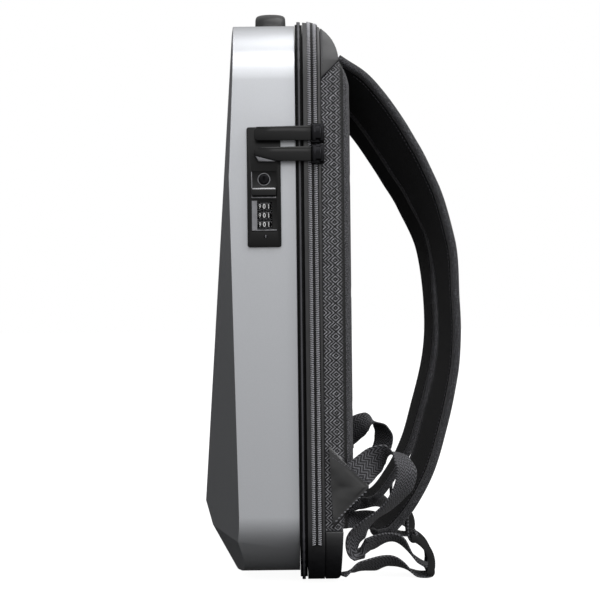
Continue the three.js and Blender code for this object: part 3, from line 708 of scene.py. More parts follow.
def make_rear_body():
    softened("rear_tray", "rear_band", COATED, 1.1, 3)
    softened("top_cap", "upper_panel", COATED, 1.0, 3)
    softened("bottom_cap", "base_panel", COATED, 1.6, 3)
    lines = []
    for side in (1, -1):
        loop = [p for p in rear_outline(BAND_END + 1.9, -0.05) if (p.x - MIDDLE_X) * side > 0]
        high = [p for p in loop if p.z > 430 * MM]
        lines.append(sorted(high, key=lambda p: p.z))
    add_stitches("upper_panel_stitching", lines, pitch=2.4, length=1.7, radius=0.3)


# Padded back panel

PANEL_INSET = 3
PANEL_BACK = 43.8
CAP_LOW_FRONT = 422.5
CAP_LOW_BACK = 438
BASE_TOP = 48
BASE_REACH = 34.8
PANEL_FULL_Z = 100.8
PANEL_ROUND_Z = 416
CHANNEL_HALF = 22
CHANNEL_LOW = 92
CHANNEL_HIGH = 396
CHANNEL_DEPTH = 5
PANEL_TUCK = 1          # how far the panel runs on under the caps
BROW_SINK = 8.2         # how much thinner it is under the upper cap
PANEL_ROWS = 230

# The panel's wall and rounded edge: depth and inset as shares of its thickness.
WALL_PROFILE = (
    (0.0, 0.0), (0.1, 0.0), (0.2, 0.0), (0.3, 0.0), (0.4, 0.0), (0.52, 0.005), (0.62, 0.03), (0.72, 0.07),
    (0.8, 0.13), (0.88, 0.2), (0.93, 0.28), (0.97, 0.38), (0.99, 0.48), (1.0, 0.58),
)
BACK_STEPS = 76


def panel_depth(z):
    """Depth of the panel's back face at a height: it thins towards the base and the upper cap."""
    low = min(1.0, max(0.0, (z - BASE_TOP) / (PANEL_FULL_Z - BASE_TOP)))
    low = low * low * (3 - 2 * low)
    high = min(1.0, max(0.0, (z - PANEL_ROUND_Z) / (CAP_LOW_BACK - PANEL_ROUND_Z)))
    return BASE_REACH + (PANEL_BACK - BASE_REACH) * low - BROW_SINK * high ** 2


def panel_half(z):
    """Half width of the panel at a height, narrower where its corners round."""
    radius = REAR_CORNER - PANEL_INSET
    low, high = REAR_CORNER, REAR_HEIGHT - REAR_CORNER
    past = max(low - z, z - high, 0)
    return REAR_HALF - REAR_CORNER + math.sqrt(max(0.0, radius ** 2 - past ** 2))


def smooth_step(value, low, high):
    share = min(1.0, max(0.0, (value - low) / (high - low)))
    return share * share * (3 - 2 * share)


def pad_rise(x, z):
    """How far the two long pads stand out and the spine channel sinks in, in millimetres."""
    above_low = smooth_step(z, CHANNEL_LOW - 8, CHANNEL_LOW + 12)
    in_height = above_low * smooth_step(-z, -CHANNEL_HIGH - 8, -CHANNEL_HIGH + 12)
    in_width = 1 - smooth_step(abs(x), CHANNEL_HALF - 5, CHANNEL_HALF + 4)
    channel = -CHANNEL_DEPTH * in_height * in_width
    pad_middle = 80
    pad = 1.6 * (1 - ((abs(x) - pad_middle) / 60) ** 2) if abs(abs(x) - pad_middle) < 60 else 0
    seams = sum(math.exp(-((z - level) / 2.2) ** 2) for level in (150, 246, 342))
    seam_reach = smooth_step(abs(x), CHANNEL_HALF + 4, CHANNEL_HALF + 10) * smooth_step(-abs(x), -138, -130)
    return channel + pad * smooth_step(z, 70, 110) * smooth_step(-z, -425, -390) - 1.9 * seams * seam_reach


def panel_row(z):
    """The panel's surface across the bag at one height: (x, y) from the right wall to the left."""
    start = BAND_END + 0.3
    thickness = panel_depth(z) - start
    half = panel_half(z)
    right = [(half - inset * thickness, start + depth * thickness) for depth, inset in WALL_PROFILE]
    edge = right[-1][0]
    middle = []
    for i in range(1, BACK_STEPS):
        x = edge * (1 - 2 * i / BACK_STEPS)
        middle.append((x, start + thickness + pad_rise(x, z)))
    left = [(-x, y) for x, y in reversed(right)]
    return right + middle + left


def cap_edge(y):
    """Height of the upper cap's lower edge at a depth."""
    slope = (CAP_LOW_BACK - CAP_LOW_FRONT) / (TOP_ROUND_START + TOP_ROUND - BAND_END)
    return CAP_LOW_FRONT + slope * (y - BAND_END)


def make_back_panel():
    verts, faces = [], []
    low = BASE_TOP - PANEL_TUCK
    for r in range(PANEL_ROWS + 1):
        share = r / PANEL_ROWS
        row = panel_row(low + (CAP_LOW_BACK + PANEL_TUCK - low) * share)
        for x, y in row:
            top = cap_edge(y) + PANEL_TUCK
            z = low + (min(top, CAP_LOW_BACK + PANEL_TUCK) - low) * share
            verts.append(at(x, y, z))
    count = len(row)
    for r in range(PANEL_ROWS):
        for i in range(count - 1):
            a = r * count + i
            faces.append((a, a + 1, a + count + 1, a + count))
    last = PANEL_ROWS * count
    faces.append(tuple(reversed(range(count))))
    faces.append(tuple(range(last, last + count)))
    for r in range(PANEL_ROWS):
        a = r * count
        faces.append((a, a + count, a + count + count - 1, a + count - 1))
    piece = new_piece("back_pad", verts, faces, KNIT, slot="mesh", stands_for=("back_panel",))
    for side, name in ((1, "right"), (-1, "left")):
        make_side_mesh(name, side)


# Ribbed mesh on the panel's side walls: nested diamonds in a column.
DIAMOND_HEIGHT = 7.9
DIAMOND_MIDDLE = 30.2
RIB_PITCH = 3.0
RIB_RISE = 0.8
MESH_STEP = 0.55
MESH_START = 20.1
MESH_END = 38.5


def rib_height(y, z):
    """Height of the diamond ribs from 0 to 1, fading towards the panel's rounded edge."""
    part = (z / DIAMOND_HEIGHT) % 1
    from_middle = abs(part - 0.5) * DIAMOND_HEIGHT * 1.15
    distance = abs(y - DIAMOND_MIDDLE) + from_middle
    wave = 0.5 + 0.5 * math.cos(2 * math.pi * distance / RIB_PITCH)
    jitter = 0.9 + 0.35 * noise.noise(Vector((y * 0.6, z * 0.6, 3.0)))
    fade = 1 - smooth_step(y, 33.5, MESH_END)
    return max(0.0, min(1.0, wave * jitter)) * fade


def make_side_mesh(name, side):
    start = BAND_END + 0.3
    verts, faces, ribs = [], [], []
    low, high = BASE_TOP + 1, CAP_LOW_BACK
    rows = int((high - low) / MESH_STEP)
    columns = int((MESH_END - MESH_START) / MESH_STEP)
    depths = [share for share, inset in WALL_PROFILE]
    insets = [inset for share, inset in WALL_PROFILE]
    for r in range(rows + 1):
        for c in range(columns + 1):
            y = MESH_START + (MESH_END - MESH_START) * c / columns
            z = min(low + (high - low) * r / rows, cap_edge(y) - 0.2)
            thickness = panel_depth(z) - start
            share = min(1.0, (y - start) / thickness)
            inset = float(np.interp(share, depths, insets)) * thickness
            rib = rib_height(y, z)
            x = panel_half(z) - inset + 0.12 + RIB_RISE * rib
            verts.append(at(side * x, y, z))
            ribs.append(rib)
    count = columns + 1
    for r in range(rows):
        for c in range(columns):
            a = r * count + c
            face = (a, a + 1, a + count + 1, a + count)
            faces.append(face if side > 0 else tuple(reversed(face)))
    piece = new_piece(f"side_mesh_{name}", verts, faces, JACQUARD, slot="mesh", sharp=80)
    point_values(piece, "rib", ribs, "FLOAT")


# Zipper

ROW_MIDDLES = (10.2, 15.1)
TOOTH_LENGTH = 3.3
TOOTH_PITCH = 1.55
TOOTH_RADIUS = 0.5
TOOTH_RISE = 1.15
ZIP_LOW = 37


def make_zipper():
    softened("zipper_coil", "zipper_tape", ZIP_TAPE, 0.25)
    parts = []
    slants = (0.22, -0.22)
    for y, slant in zip(ROW_MIDDLES, slants):
        loop = rear_outline(y, -TOOTH_RISE)
        run = [p for p in loop if p.z > ZIP_LOW * MM]
        first = at(REAR_HALF + TOOTH_RISE, y, ZIP_LOW)
        last = at(-REAR_HALF - TOOTH_RISE, y, ZIP_LOW)
        run = [first] + [p for p in run if p.z > REAR_CORNER * MM] + [last]
        for place, along in resample(run, TOOTH_PITCH * MM):
            way = (Vector((0, 1, 0)) + along * slant).normalized()
            parts.append(grain_part(place, way, TOOTH_LENGTH * MM, TOOTH_RADIUS * MM))
    verts, faces = gather(parts)
    new_piece("zipper_teeth", verts, faces, NYLON_COIL, slot="zipper")


def make_sliders():
    for name in ("upper", "lower"):
        low, high = local_box(f"zip_slider_{name}")
        middle = (low.z + high.z) / 2
        parts = [
            block_part((low.x, low.y, low.z), (low.x + 2.6, high.y, high.z), 1.1, 3),
            block_part((low.x + 2.0, low.y + 1.2, middle - 5.6), (high.x - 0.4, high.y - 2.4, middle + 5.6), 1.7, 4),
            block_part((low.x + 1.0, high.y - 4.6, low.z + 1.0), (high.x - 2.2, high.y - 0.4, high.z - 1.5), 1.5, 4),
            barrel_part(2.1, (high.x - 1.9, low.y + 2.6, middle - 6.4), (high.x - 1.9, low.y + 2.6, middle + 6.4)),
        ]
        verts, faces = gather(parts)
        new_piece(
            f"slider_{name}", verts, faces, BLACK_NICKEL, slot="gloss", sharp=60,
            stands_for=(f"zip_slider_{name}",),
        )


# Tip of each pull as seen from the side: how far its lower edge is cut up, and over what length.
PULL_TIPS = {"upper": (1.2, 2.5), "lower": (5.0, 19.0)}


def make_pulls():
    for name, (rise, run) in PULL_TIPS.items():
        low, high = local_box(f"zip_pull_{name}")
        bar_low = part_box(f"zip_slider_{name}")[0].x / MM - MIDDLE_X / MM
        tip, root = low.y, high.y + 1.5
        outline = (
            (tip + 1.6, high.z), (root, high.z + 0.7), (root, low.z - 0.2), (tip + run, low.z),
            (tip, low.z + rise), (tip, high.z - 2.2),
        )
        parts = [prism_part(outline, bar_low, high.x, 0.55, 2)]
        spine = (tip + 2.5, root - 1.0)
        parts.append(block_part(
            (high.x - 0.2, spine[0], high.z - 1.35), (high.x + 0.25, spine[1], high.z - 0.55), 0.12,
        ))
        peg_low, peg_high = tip + 3.8, tip + 10.8
        parts.append(block_part((low.x, peg_low, low.z + 2), (bar_low + 0.4, peg_high, high.z - 2), 0.4))
        verts, faces = gather(parts)
        new_piece(
            f"pull_{name}", verts, faces, GLOSS_ABS, slot="moulded", sharp=35,
            stands_for=(f"zip_pull_{name}",),
        )
        # The grey wedge fills the lower pull's cut-away tip: a painted highlight on the pull's lower chamfer.
        if rise > 3:
            under = (
                (tip + 0.8, low.z + rise - 0.5), (tip + run - 1.5, low.z - 0.1), (tip + 3.4, low.z - 0.1),
            )
            verts, faces = prism_part(under, bar_low, high.x - 0.9, 0.3, 1)
            new_piece(f"pull_{name}_chamfer_highlight", verts, faces, GREY_ABS_AND_HIGHLIGHTS, slot="moulded")


# Lock

LOCK_MIDDLE_Y = -28
DIAL_RADIUS = 6.2
DIGIT_HEIGHT = 4.2
DIGIT_RISE = 0.06
DIAL_DIGITS = 10
DIAL_BODIES = {"dial_1": "dial_one", "dial_2": "dial_two", "dial_3": "dial_three"}


def digit_part(digit, radius, middle, angle):
    """One numeral bent round a dial, facing outwards at an angle, as points and faces."""
    text = bpy.data.curves.new("numeral", "FONT")
    text.body = str(digit)
    text.size = DIGIT_HEIGHT * 1.35
    text.align_x = "CENTER"
    text.align_y = "CENTER"
    text.offset = 0.03
    text.resolution_u = 3
    holder = bpy.data.objects.new("numeral", text)
    bpy.context.scene.collection.objects.link(holder)
    bpy.context.view_layer.update()
    mesh = holder.to_mesh()
    verts = []
    for vert in mesh.vertices:
        turn = angle + vert.co.x * 0.85 / radius
        reach = radius + DIGIT_RISE
        verts.append(middle + Vector((reach * math.cos(turn), reach * math.sin(turn), vert.co.y)) * MM)
    faces = [list(face.vertices) for face in mesh.polygons]
    holder.to_mesh_clear()
    bpy.data.objects.remove(holder)
    bpy.data.curves.remove(text)
    return verts, faces


def make_dials():
    for node, body in DIAL_BODIES.items():
        low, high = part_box(node)
        middle = (low + high) / 2
        softened(node, f"{node}_wheel", ABS, 0.5, 2, body=body)
        parts = [
            digit_part(digit, DIAL_RADIUS, middle, 2 * math.pi * digit / DIAL_DIGITS)
            for digit in range(DIAL_DIGITS)
        ]
        verts, faces = gather(parts)
        new_piece(f"{node}_numbers", verts, faces, WHITE_INK, body=body, slot="dial")
        make_knurl(node, body, middle, low, high)


KNURL_COUNT = 30


def make_knurl(node, body, middle, low, high):
    """Small ribs on both rims of a dial, for the fingertip."""
    parts = []
    for z in (low.z + 0.35 * MM, high.z - 0.35 * MM):
        for i in range(KNURL_COUNT):
            angle = 2 * math.pi * (i + 0.5) / KNURL_COUNT
            spoke = Vector((math.cos(angle), math.sin(angle), 0))
            place = Vector((middle.x, middle.y, z)) + spoke * (DIAL_RADIUS - 0.05) * MM
            parts.append(grain_part(place, Vector((0, 0, 1)), 0.75 * MM, 0.24 * MM))
    verts, faces = gather(parts)
    new_piece(f"{node}_ribs", verts, faces, GREY_ABS_AND_HIGHLIGHTS, body=body, slot="dial")


def make_lock():
    softened("lock_housing", "lock_body", ABS, 0.5, 2)
    softened("release_button", "release_bar", GLOSS_ABS, 0.7, 3, body="button")
    softened("key_plug", "key_cylinder", BLACK_NICKEL, 0.25, 2, body="key")
    low, high = local_box("lock_housing")
    face = high.x
    floor = face - 1.1
    dial_low = local_box("dial_3")[0].z
    dial_high = local_box("dial_1")[1].z
    window_low, window_high = LOCK_MIDDLE_Y - 10.3, LOCK_MIDDLE_Y + 10.3
    # Grey slope on the dial window's left side only: its pale colour is a painted highlight of that lit bevel.
    slope = ((window_low + 0.1, face - 0.05), (window_low + 4.4, floor), (window_low + 0.1, floor))
    bottom, top = dial_low - 1.7, dial_high + 1.7
    verts = [at(x, y, z) for z in (bottom, top) for y, x in slope]
    faces = [(0, 2, 1), (3, 4, 5), (0, 1, 4, 3), (1, 2, 5, 4), (2, 0, 3, 5)]
    new_piece("window_slope_highlight", verts, faces, GREY_ABS_AND_HIGHLIGHTS, slot="moulded", sharp=20)
    button_low, button_high = local_box("release_button")
    # Pale strips along the window's bottom, under the release bar and up the window's left edge: painted highlights on
    # the bevel edges.
    pale = [block_part(
        (face + 0.02, window_low + 0.3, bottom - 0.1), (face + 0.35, window_high, bottom + 0.75), 0.12, 1,
    )]
    pale += [block_part(
        (face + 0.02, window_low + 0.2, button_low.z - 1.6),
        (face + 0.4, window_high - 0.3, button_low.z - 0.8), 0.12, 1,
    )]
    pale += [block_part(
        (face + 0.02, window_low - 0.1, button_low.z - 1.4),
        (face + 0.3, window_low + 0.55, button_high.z + 13.5), 0.1, 1,
    )]
    verts, faces = gather(pale)
    new_piece("lock_edge_highlights", verts, faces, GREY_ABS_AND_HIGHLIGHTS, slot="moulded")
    # A bright strip on the release bar's top edge: a painted highlight of that edge.
    edge = block_part(
        (button_high.x - 0.25, button_low.y + 0.6, button_high.z - 1.3),
        (button_high.x + 0.12, button_high.y - 0.6, button_high.z - 0.1), 0.15, 2,
    )
    new_piece("release_bar_highlight", *edge, NICKEL_HIGHLIGHT, body="button", slot="gloss")
    key_low, key_high = local_box("key_plug")
    key_z = (key_low.z + key_high.z) / 2
    ring_radius = 4.9
    circle = [
        at(floor + 0.1, LOCK_MIDDLE_Y + ring_radius * math.cos(a), key_z + ring_radius * math.sin(a))
        for a in (2 * math.pi * i / 28 for i in range(28))
    ]
    ring_verts, ring_faces = flat_ring(circle, 0.42)
    new_piece("key_ring", ring_verts, ring_faces, GREY_ABS_AND_HIGHLIGHTS, slot="moulded")
    screw_z = low.z + 9
    screw_y = LOCK_MIDDLE_Y + 1.0
    screw = barrel_part(1.7, (face - 0.6, screw_y, screw_z), (face + 0.25, screw_y, screw_z))
    recess = block_part(
        (face + 0.15, screw_y - 0.3, screw_z - 1.2), (face + 0.3, screw_y + 0.3, screw_z + 1.2), 0.05, 1,
    )
    new_piece("lock_screw", *screw, BLACK_NICKEL, slot="gloss")
    new_piece("lock_screw_slot", *recess, GREY_ABS_AND_HIGHLIGHTS, slot="gloss")


def flat_ring(circle, radius):
    """A round wire along a circle that faces +x."""
    count = len(circle)
    centre = sum(circle, Vector()) / count
    verts, faces = [], []
    sides = 6
    for place in circle:
        out = (place - centre).normalized()
        for i in range(sides):
            angle = 2 * math.pi * i / sides
            verts.append(place + (out * math.cos(angle) + Vector((1, 0, 0)) * math.sin(angle)) * radius * MM)
    for i in range(count):
        for j in range(sides):
            a, b = i * sides + j, i * sides + (j + 1) % sides
            c, d = ((i + 1) % count) * sides + (j + 1) % sides, ((i + 1) % count) * sides + j
            faces.append((a, b, c, d))
    return verts, faces


# Carry handle

HANDLE_SPAN = 128
HANDLE_RISE = 22.5
HANDLE_Y = -23.3
HANDLE_ARCH = ((1, 0), (0.98, 0.3), (0.9, 0.7), (0.74, 0.93), (0.5, 1))
# Half of the grip's section: across and out in millimetres, from the middle of its top.
HANDLE_SECTION = (
    (0, 0.5), (5, 0.35), (9, -0.15), (11.6, -1.0), (13.0, -2.3), (13.4, -3.6), (12.6, -4.9), (10.5, -5.6), (5, -5.9),
)


def make_handle():
    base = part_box("carry_handle")[0].z / MM
    half = [at(x * HANDLE_SPAN / 2, HANDLE_Y, base + z * HANDLE_RISE) for x, z in HANDLE_ARCH]
    other = [at(-x * HANDLE_SPAN / 2, HANDLE_Y, base + z * HANDLE_RISE) for x, z in reversed(HANDLE_ARCH)]
    points = half + other
    stations = []
    steps = 64
    for i in range(steps + 1):
        t = i / steps
        along = curve_tangent(points, t)
        if i in (0, steps):
            along = Vector((0, 0, 1 if i == 0 else -1))
        out = Vector((along.z, 0, -along.x))
        stations.append({"place": curve_point(points, t), "across": Vector((0, 1, 0)), "out": out})
    right = [(a, o) for a, o in HANDLE_SECTION]
    section = right + [(-a, o) for a, o in reversed(right) if a > 0]
    verts, faces, lay, places = sweep(stations, lambda station: section)
    new_piece("grip_handle", verts, faces, SOFT_GRIP, slot="handle", stands_for=("carry_handle",))
    feet = []
    for side in (1, -1):
        x = side * (HANDLE_SPAN / 2 - 2.6)
        feet.append(block_part((x - 5.5, HANDLE_Y - 12.5, base - 0.2), (x + 5.5, HANDLE_Y + 12.5, base + 2.2), 0.9, 3))
    new_piece("handle_feet", *gather(feet), ABS, slot="handle")


# Shoulder straps

STRAP_WIDTH = 66
STRAP_THICKNESS = 7
STRAP_REACH = 136
STRAP_STEPS = 170
STRAP_ROWS = [
    {"x": 0.45, "y": 0.274, "z": 0.916, "right": 23, "left": -12, "width": 1},
    {"x": 0.45, "y": 0.388, "z": 0.894, "right": 23, "left": -13, "width": 1},
    {"x": 0.455, "y": 0.491, "z": 0.861, "right": 23, "left": -14, "width": 1},
    {"x": 0.46, "y": 0.599, "z": 0.817, "right": 23, "left": -14, "width": 1},
    {"x": 0.465, "y": 0.706, "z": 0.767, "right": 22, "left": -13, "width": 1},
    {"x": 0.47, "y": 0.825, "z": 0.706, "right": 18, "left": -11, "width": 1},
    {"x": 0.48, "y": 0.953, "z": 0.609, "right": 11, "left": -6, "width": 1},
    {"x": 0.49, "y": 0.995, "z": 0.494, "right": 7, "left": -3, "width": 1},
    {"x": 0.5, "y": 0.997, "z": 0.424, "right": 7, "left": -3, "width": 1},
    {"x": 0.51, "y": 0.971, "z": 0.363, "right": 8, "left": -3, "width": 1},
    {"x": 0.52, "y": 0.898, "z": 0.279, "right": 10, "left": -3, "width": 1},
    {"x": 0.53, "y": 0.807, "z": 0.195, "right": 10, "left": -2, "width": 1},
    {"x": 0.54, "y": 0.702, "z": 0.139, "right": 10, "left": 0, "width": 1},
    {"x": 0.55, "y": 0.57, "z": 0.089, "right": 8, "left": 0, "width": 0.94},
    {"x": 0.56, "y": 0.494, "z": 0.077, "right": 5, "left": 0, "width": 0.8},
    {"x": 0.56, "y": 0.44, "z": 0.075, "right": 3, "left": 0, "width": 0.5},
]
STRAP_TUCK = 7          # how far a strap runs on into the panel
EDGE_BAND = 7.0         # width of the bound edge
SEAM_DEPTH = 1.0
PAD_CROWN = 0.7
STRAP_PLACES = (
    0, 0.14, 0.28, 0.42, 0.55, 0.66, 0.72, 0.75, 0.77, 0.788,
    0.806, 0.83, 0.86, 0.89, 0.92, 0.945, 0.965, 0.98, 0.992, 1,
)


def strap_stations(side, steps=STRAP_STEPS):
    twist_name = "right" if side > 0 else "left"
    points = [
        at(side * row["x"] * REAR_HALF, row["y"] * STRAP_REACH, row["z"] * REAR_HEIGHT) for row in STRAP_ROWS
    ]
    stations = []
    for i in range(steps + 1):
        t = i / steps
        along = curve_tangent(points, t)
        flat_out = Vector((0, -along.z, along.y)).normalized()
        sideways = Vector((side, 0, 0))
        twist = math.radians(row_value(STRAP_ROWS, twist_name, t))
        stations.append({
            "place": curve_point(points, t),
            "along": along,
            "across": sideways * math.cos(twist) + flat_out * math.sin(twist),
            "out": flat_out * math.cos(twist) - sideways * math.sin(twist),
            "half": STRAP_WIDTH * row_value(STRAP_ROWS, "width", t) / 2,
            "full": 1.0,
        })
    root = dict(stations[0])
    root["place"] = root["place"] - root["along"] * STRAP_TUCK * MM
    stations.insert(0, root)
    tip_steps = 6
    for i in range(tip_steps):
        share = 1 - i / tip_steps
        stations[-1 - i]["full"] = math.sqrt(max(0.02, 1 - share ** 2))
        stations[-1 - i]["half"] *= 1 - 0.12 * share ** 2
    return stations


def strap_section(station):
    """A padded section with a rolled edge on both sides and a sewn groove inside each edge."""
    half = station["half"]
    middle = -STRAP_THICKNESS / 2
    groove_at = 1 - EDGE_BAND / half
    faces = {1: [], -1: []}
    for place in STRAP_PLACES:
        shape = math.sqrt(max(0.0, 1 - place ** 26))
        groove = SEAM_DEPTH * math.exp(-(((place - groove_at) * half) / 1.0) ** 2)
        crown = PAD_CROWN * max(0.0, 1 - (place / groove_at) ** 2)
        for face in (1, -1):
            lift = STRAP_THICKNESS / 2 * shape - groove + (crown if face < 0 else crown * 0.4)
            faces[face].append((place * half, middle + face * lift * station["full"]))
    outer, inner = faces[1], faces[-1]
    ring = [(-a, o) for a, o in reversed(outer[1:])] + outer + list(reversed(inner[:-1]))
    return ring + [(-a, o) for a, o in inner[1:-1]]


def make_strap(name, side):
    stations = strap_stations(side)
    verts, faces, lay, places = sweep(stations, strap_section)
    count = len(verts) // len(stations)
    outer_count = 2 * len(STRAP_PLACES) - 1
    picks = []
    for face, place in zip(faces, places):
        if place < 0:
            picks.append(1)
            continue
        station = stations[face[0] // count]
        across = abs(lay[face[0]][1] + lay[face[1]][1]) / 2
        at_edge = across > station["half"] - EDGE_BAND
        picks.append(1 if at_edge else (2 if place < outer_count - 1 else 0))
    if side < 0:
        faces = [tuple(reversed(face)) for face in faces]
    piece = new_piece(
        f"padded_strap_{name}", verts, faces, [STRAP_MESH, BINDING, STRAP_FACE], slot="mesh",
        stands_for=(f"shoulder_strap_{name}",), picks=picks,
    )
    point_values(piece, "lay", lay)
    lines = []
    body = stations[8:-14]
    for face in (1, -1):
        for edge in (1, -1):
            line = []
            for station in body:
                across = edge * (station["half"] - EDGE_BAND - 1.6)
                out = -STRAP_THICKNESS / 2 + face * (STRAP_THICKNESS / 2 + 0.15)
                line.append(station["place"] + (station["across"] * across + station["out"] * out) * MM)
            lines.append(line)
    add_stitches(f"strap_stitching_{name}", lines, pitch=3.4, length=2.2, radius=0.28)


# Webbing, buckles and gussets

WEB_WIDTH = 25
WEB_THICKNESS = 1.7
WEB_STEPS = 260
HANGER_STEPS = 60
ANCHOR_ROWS = [
    {"x": 0.8, "y": 0.2469, "z": 0.0121, "ax": -1, "ay": 0, "az": 0},
    {"x": 0.77, "y": 0.3555, "z": 0.025, "ax": -0.88, "ay": 0, "az": -0.45},
    {"x": 0.72, "y": 0.4938, "z": 0.028, "ax": -0.8, "ay": 0, "az": -0.6},
    {"x": 0.66, "y": 0.6123, "z": 0.021, "ax": -0.92, "ay": 0, "az": -0.35},
    {"x": 0.646, "y": 0.7308, "z": 0.0034, "ax": -1, "ay": 0, "az": 0},
]
TAIL_ROWS = [
    {"x": 0.646, "y": 0.7308, "z": 0.0292, "ax": -1, "ay": 0, "az": 0},
    {"x": 0.69, "y": 0.6024, "z": 0.0666, "ax": -0.93, "ay": 0, "az": -0.36},
    {"x": 0.77, "y": 0.4641, "z": 0.0686, "ax": -0.84, "ay": 0.1, "az": -0.52},
    {"x": 0.84, "y": 0.345, "z": 0.0605, "ax": -0.8, "ay": 0.5, "az": -0.3},
    {"x": 0.87, "y": 0.34, "z": 0.0857, "ax": -0.72, "ay": 0.69, "az": 0},
    {"x": 0.89, "y": 0.4148, "z": 0.1129, "ax": -0.82, "ay": 0.56, "az": 0},
    {"x": 0.91, "y": 0.5036, "z": 0.1311, "ax": -0.8, "ay": 0.6, "az": 0},
    {"x": 0.935, "y": 0.5777, "z": 0.1523, "ax": -0.77, "ay": 0.63, "az": 0},
    {"x": 0.955, "y": 0.6271, "z": 0.1744, "ax": -0.7, "ay": 0.7, "az": -0.1},
    {"x": 0.965, "y": 0.6439, "z": 0.1976, "ax": -0.68, "ay": 0.73, "az": 0},
    {"x": 0.96, "y": 0.6201, "z": 0.2188, "ax": -0.84, "ay": 0.53, "az": 0.07},
    {"x": 0.95, "y": 0.5658, "z": 0.2319, "ax": -0.94, "ay": 0.33, "az": -0.1},
    {"x": 0.955, "y": 0.5026, "z": 0.2305, "ax": -0.67, "ay": 0.48, "az": -0.56},
    {"x": 0.97, "y": 0.4306, "z": 0.2182, "ax": -0.3, "ay": 0.55, "az": -0.78},
    {"x": 0.99, "y": 0.3614, "z": 0.2017, "ax": 0, "ay": 0.57, "az": -0.82},
    {"x": 0.99, "y": 0.3259, "z": 0.1946, "ax": 0, "ay": 0.57, "az": -0.82},
]
HANGER_ROWS = [
    {"x": 0.645, "y": 0.6755, "z": 0.12, "ax": -1, "ay": 0, "az": 0},
    {"x": 0.645, "y": 0.6715, "z": 0.1008, "ax": -1, "ay": 0, "az": 0},
]
BUCKLE_X = 100
BUCKLE_Y = 88
BUCKLE_RADIUS = 26
BUCKLE_BAND = 6
BAR_RADIUS = 2.5
LOW_BAR_ANGLE = -0.37
TOP_BAR_ANGLE = 1.2
WEB_GAP = 0.3
BUCKLE_MIDDLE = BUCKLE_RADIUS - BUCKLE_BAND / 2
WRAP_RADIUS = BAR_RADIUS + WEB_GAP * 2 + WEB_THICKNESS / 2
BUCKLE_Z = WRAP_RADIUS + WEB_THICKNESS / 2 + WEB_GAP - BUCKLE_MIDDLE * math.sin(LOW_BAR_ANGLE)
TURN_STEPS = 5


def bar_place(angle):
    return BUCKLE_Y + BUCKLE_MIDDLE * math.cos(angle), BUCKLE_Z + BUCKLE_MIDDLE * math.sin(angle)


def wrap_rows(bar, start, end):
    """Rows that carry webbing round a bar of the buckle, from one angle to another."""
    rows = []
    for i in range(TURN_STEPS):
        angle = start + (end - start) * i / (TURN_STEPS - 1)
        rows.append({
            "x": BUCKLE_X / REAR_HALF,
            "y": (bar[0] + WRAP_RADIUS * math.cos(angle)) / STRAP_REACH,
            "z": (bar[1] + WRAP_RADIUS * math.sin(angle)) / REAR_HEIGHT,
            "ax": -1, "ay": 0, "az": 0,
        })
    return rows


def web_section(station):
    half, low = WEB_WIDTH / 2, -WEB_THICKNESS
    top = [(-half, -0.6), (-half + 0.15, -0.15), (-half + 0.6, 0), (-half / 2, 0.02), (0, 0), (half / 2, 0.02)]
    top += [(half - 0.6, 0), (half - 0.15, -0.15), (half, -0.6)]
    base = [(half - 0.15, low + 0.15), (half - 0.6, low), (0, low), (-half + 0.6, low), (-half + 0.15, low + 0.15)]
    return top + base


def web_stations(rows, side, steps):
    points = [
        at(side * row["x"] * REAR_HALF, row["y"] * STRAP_REACH, row["z"] * REAR_HEIGHT) for row in rows
    ]
    stations = []
    for i in range(steps + 1):
        t = i / steps
        along = curve_tangent(points, t)
        across = Vector((side * row_value(rows, "ax", t), row_value(rows, "ay", t), row_value(rows, "az", t)))
        across = (across - along * across.dot(along)).normalized()
        out = across.cross(along).normalized() * side
        place = curve_point(points, t) + out * WEB_THICKNESS / 2 * MM
        stations.append({"place": place, "across": across, "out": out})
    return stations


def web_piece(name, rows, side, steps, node):
    verts, faces, lay, places = sweep(web_stations(rows, side, steps), web_section)
    if side > 0:
        faces = [tuple(reversed(face)) for face in faces]
    piece = new_piece(name, verts, faces, WEBBING, slot="webbing", stands_for=(node,), sharp=60)
    point_values(piece, "lay", lay)


def make_webbing(name, side):
    low_turn = wrap_rows(bar_place(LOW_BAR_ANGLE), -math.pi * 0.5, math.pi * 0.6)
    web_piece(
        f"adjuster_webbing_{name}", ANCHOR_ROWS + low_turn + TAIL_ROWS, side, WEB_STEPS, f"webbing_{name}",
    )
    top_turn = wrap_rows(bar_place(TOP_BAR_ANGLE), -math.pi * 0.9, math.pi * 0.35)
    web_piece(
        f"hanger_webbing_{name}", HANGER_ROWS + top_turn, side, HANGER_STEPS, f"buckle_web_{name}",
    )


WING_FRONT = 23.5
WING_TOP = 118.6
WING_LOW = 50.3
WING_FOOT = 3
WING_REACH = 56
WING_TIP_Z = 85
WING_STEPS = 26
FOLD_WIDTH = 4.5


def wing_place(u, v):
    """Side view place on the wing: u from the front seam to the tip, v from the lower edge to the top."""
    low = Vector((WING_FRONT + WING_FOOT * (1 - u), WING_LOW)).lerp(Vector((WING_REACH, WING_TIP_Z - 2)), u)
    top = Vector((WING_FRONT, WING_TOP)).lerp(Vector((WING_REACH, WING_TIP_Z + 1.5)), u)
    return low.lerp(top, v)


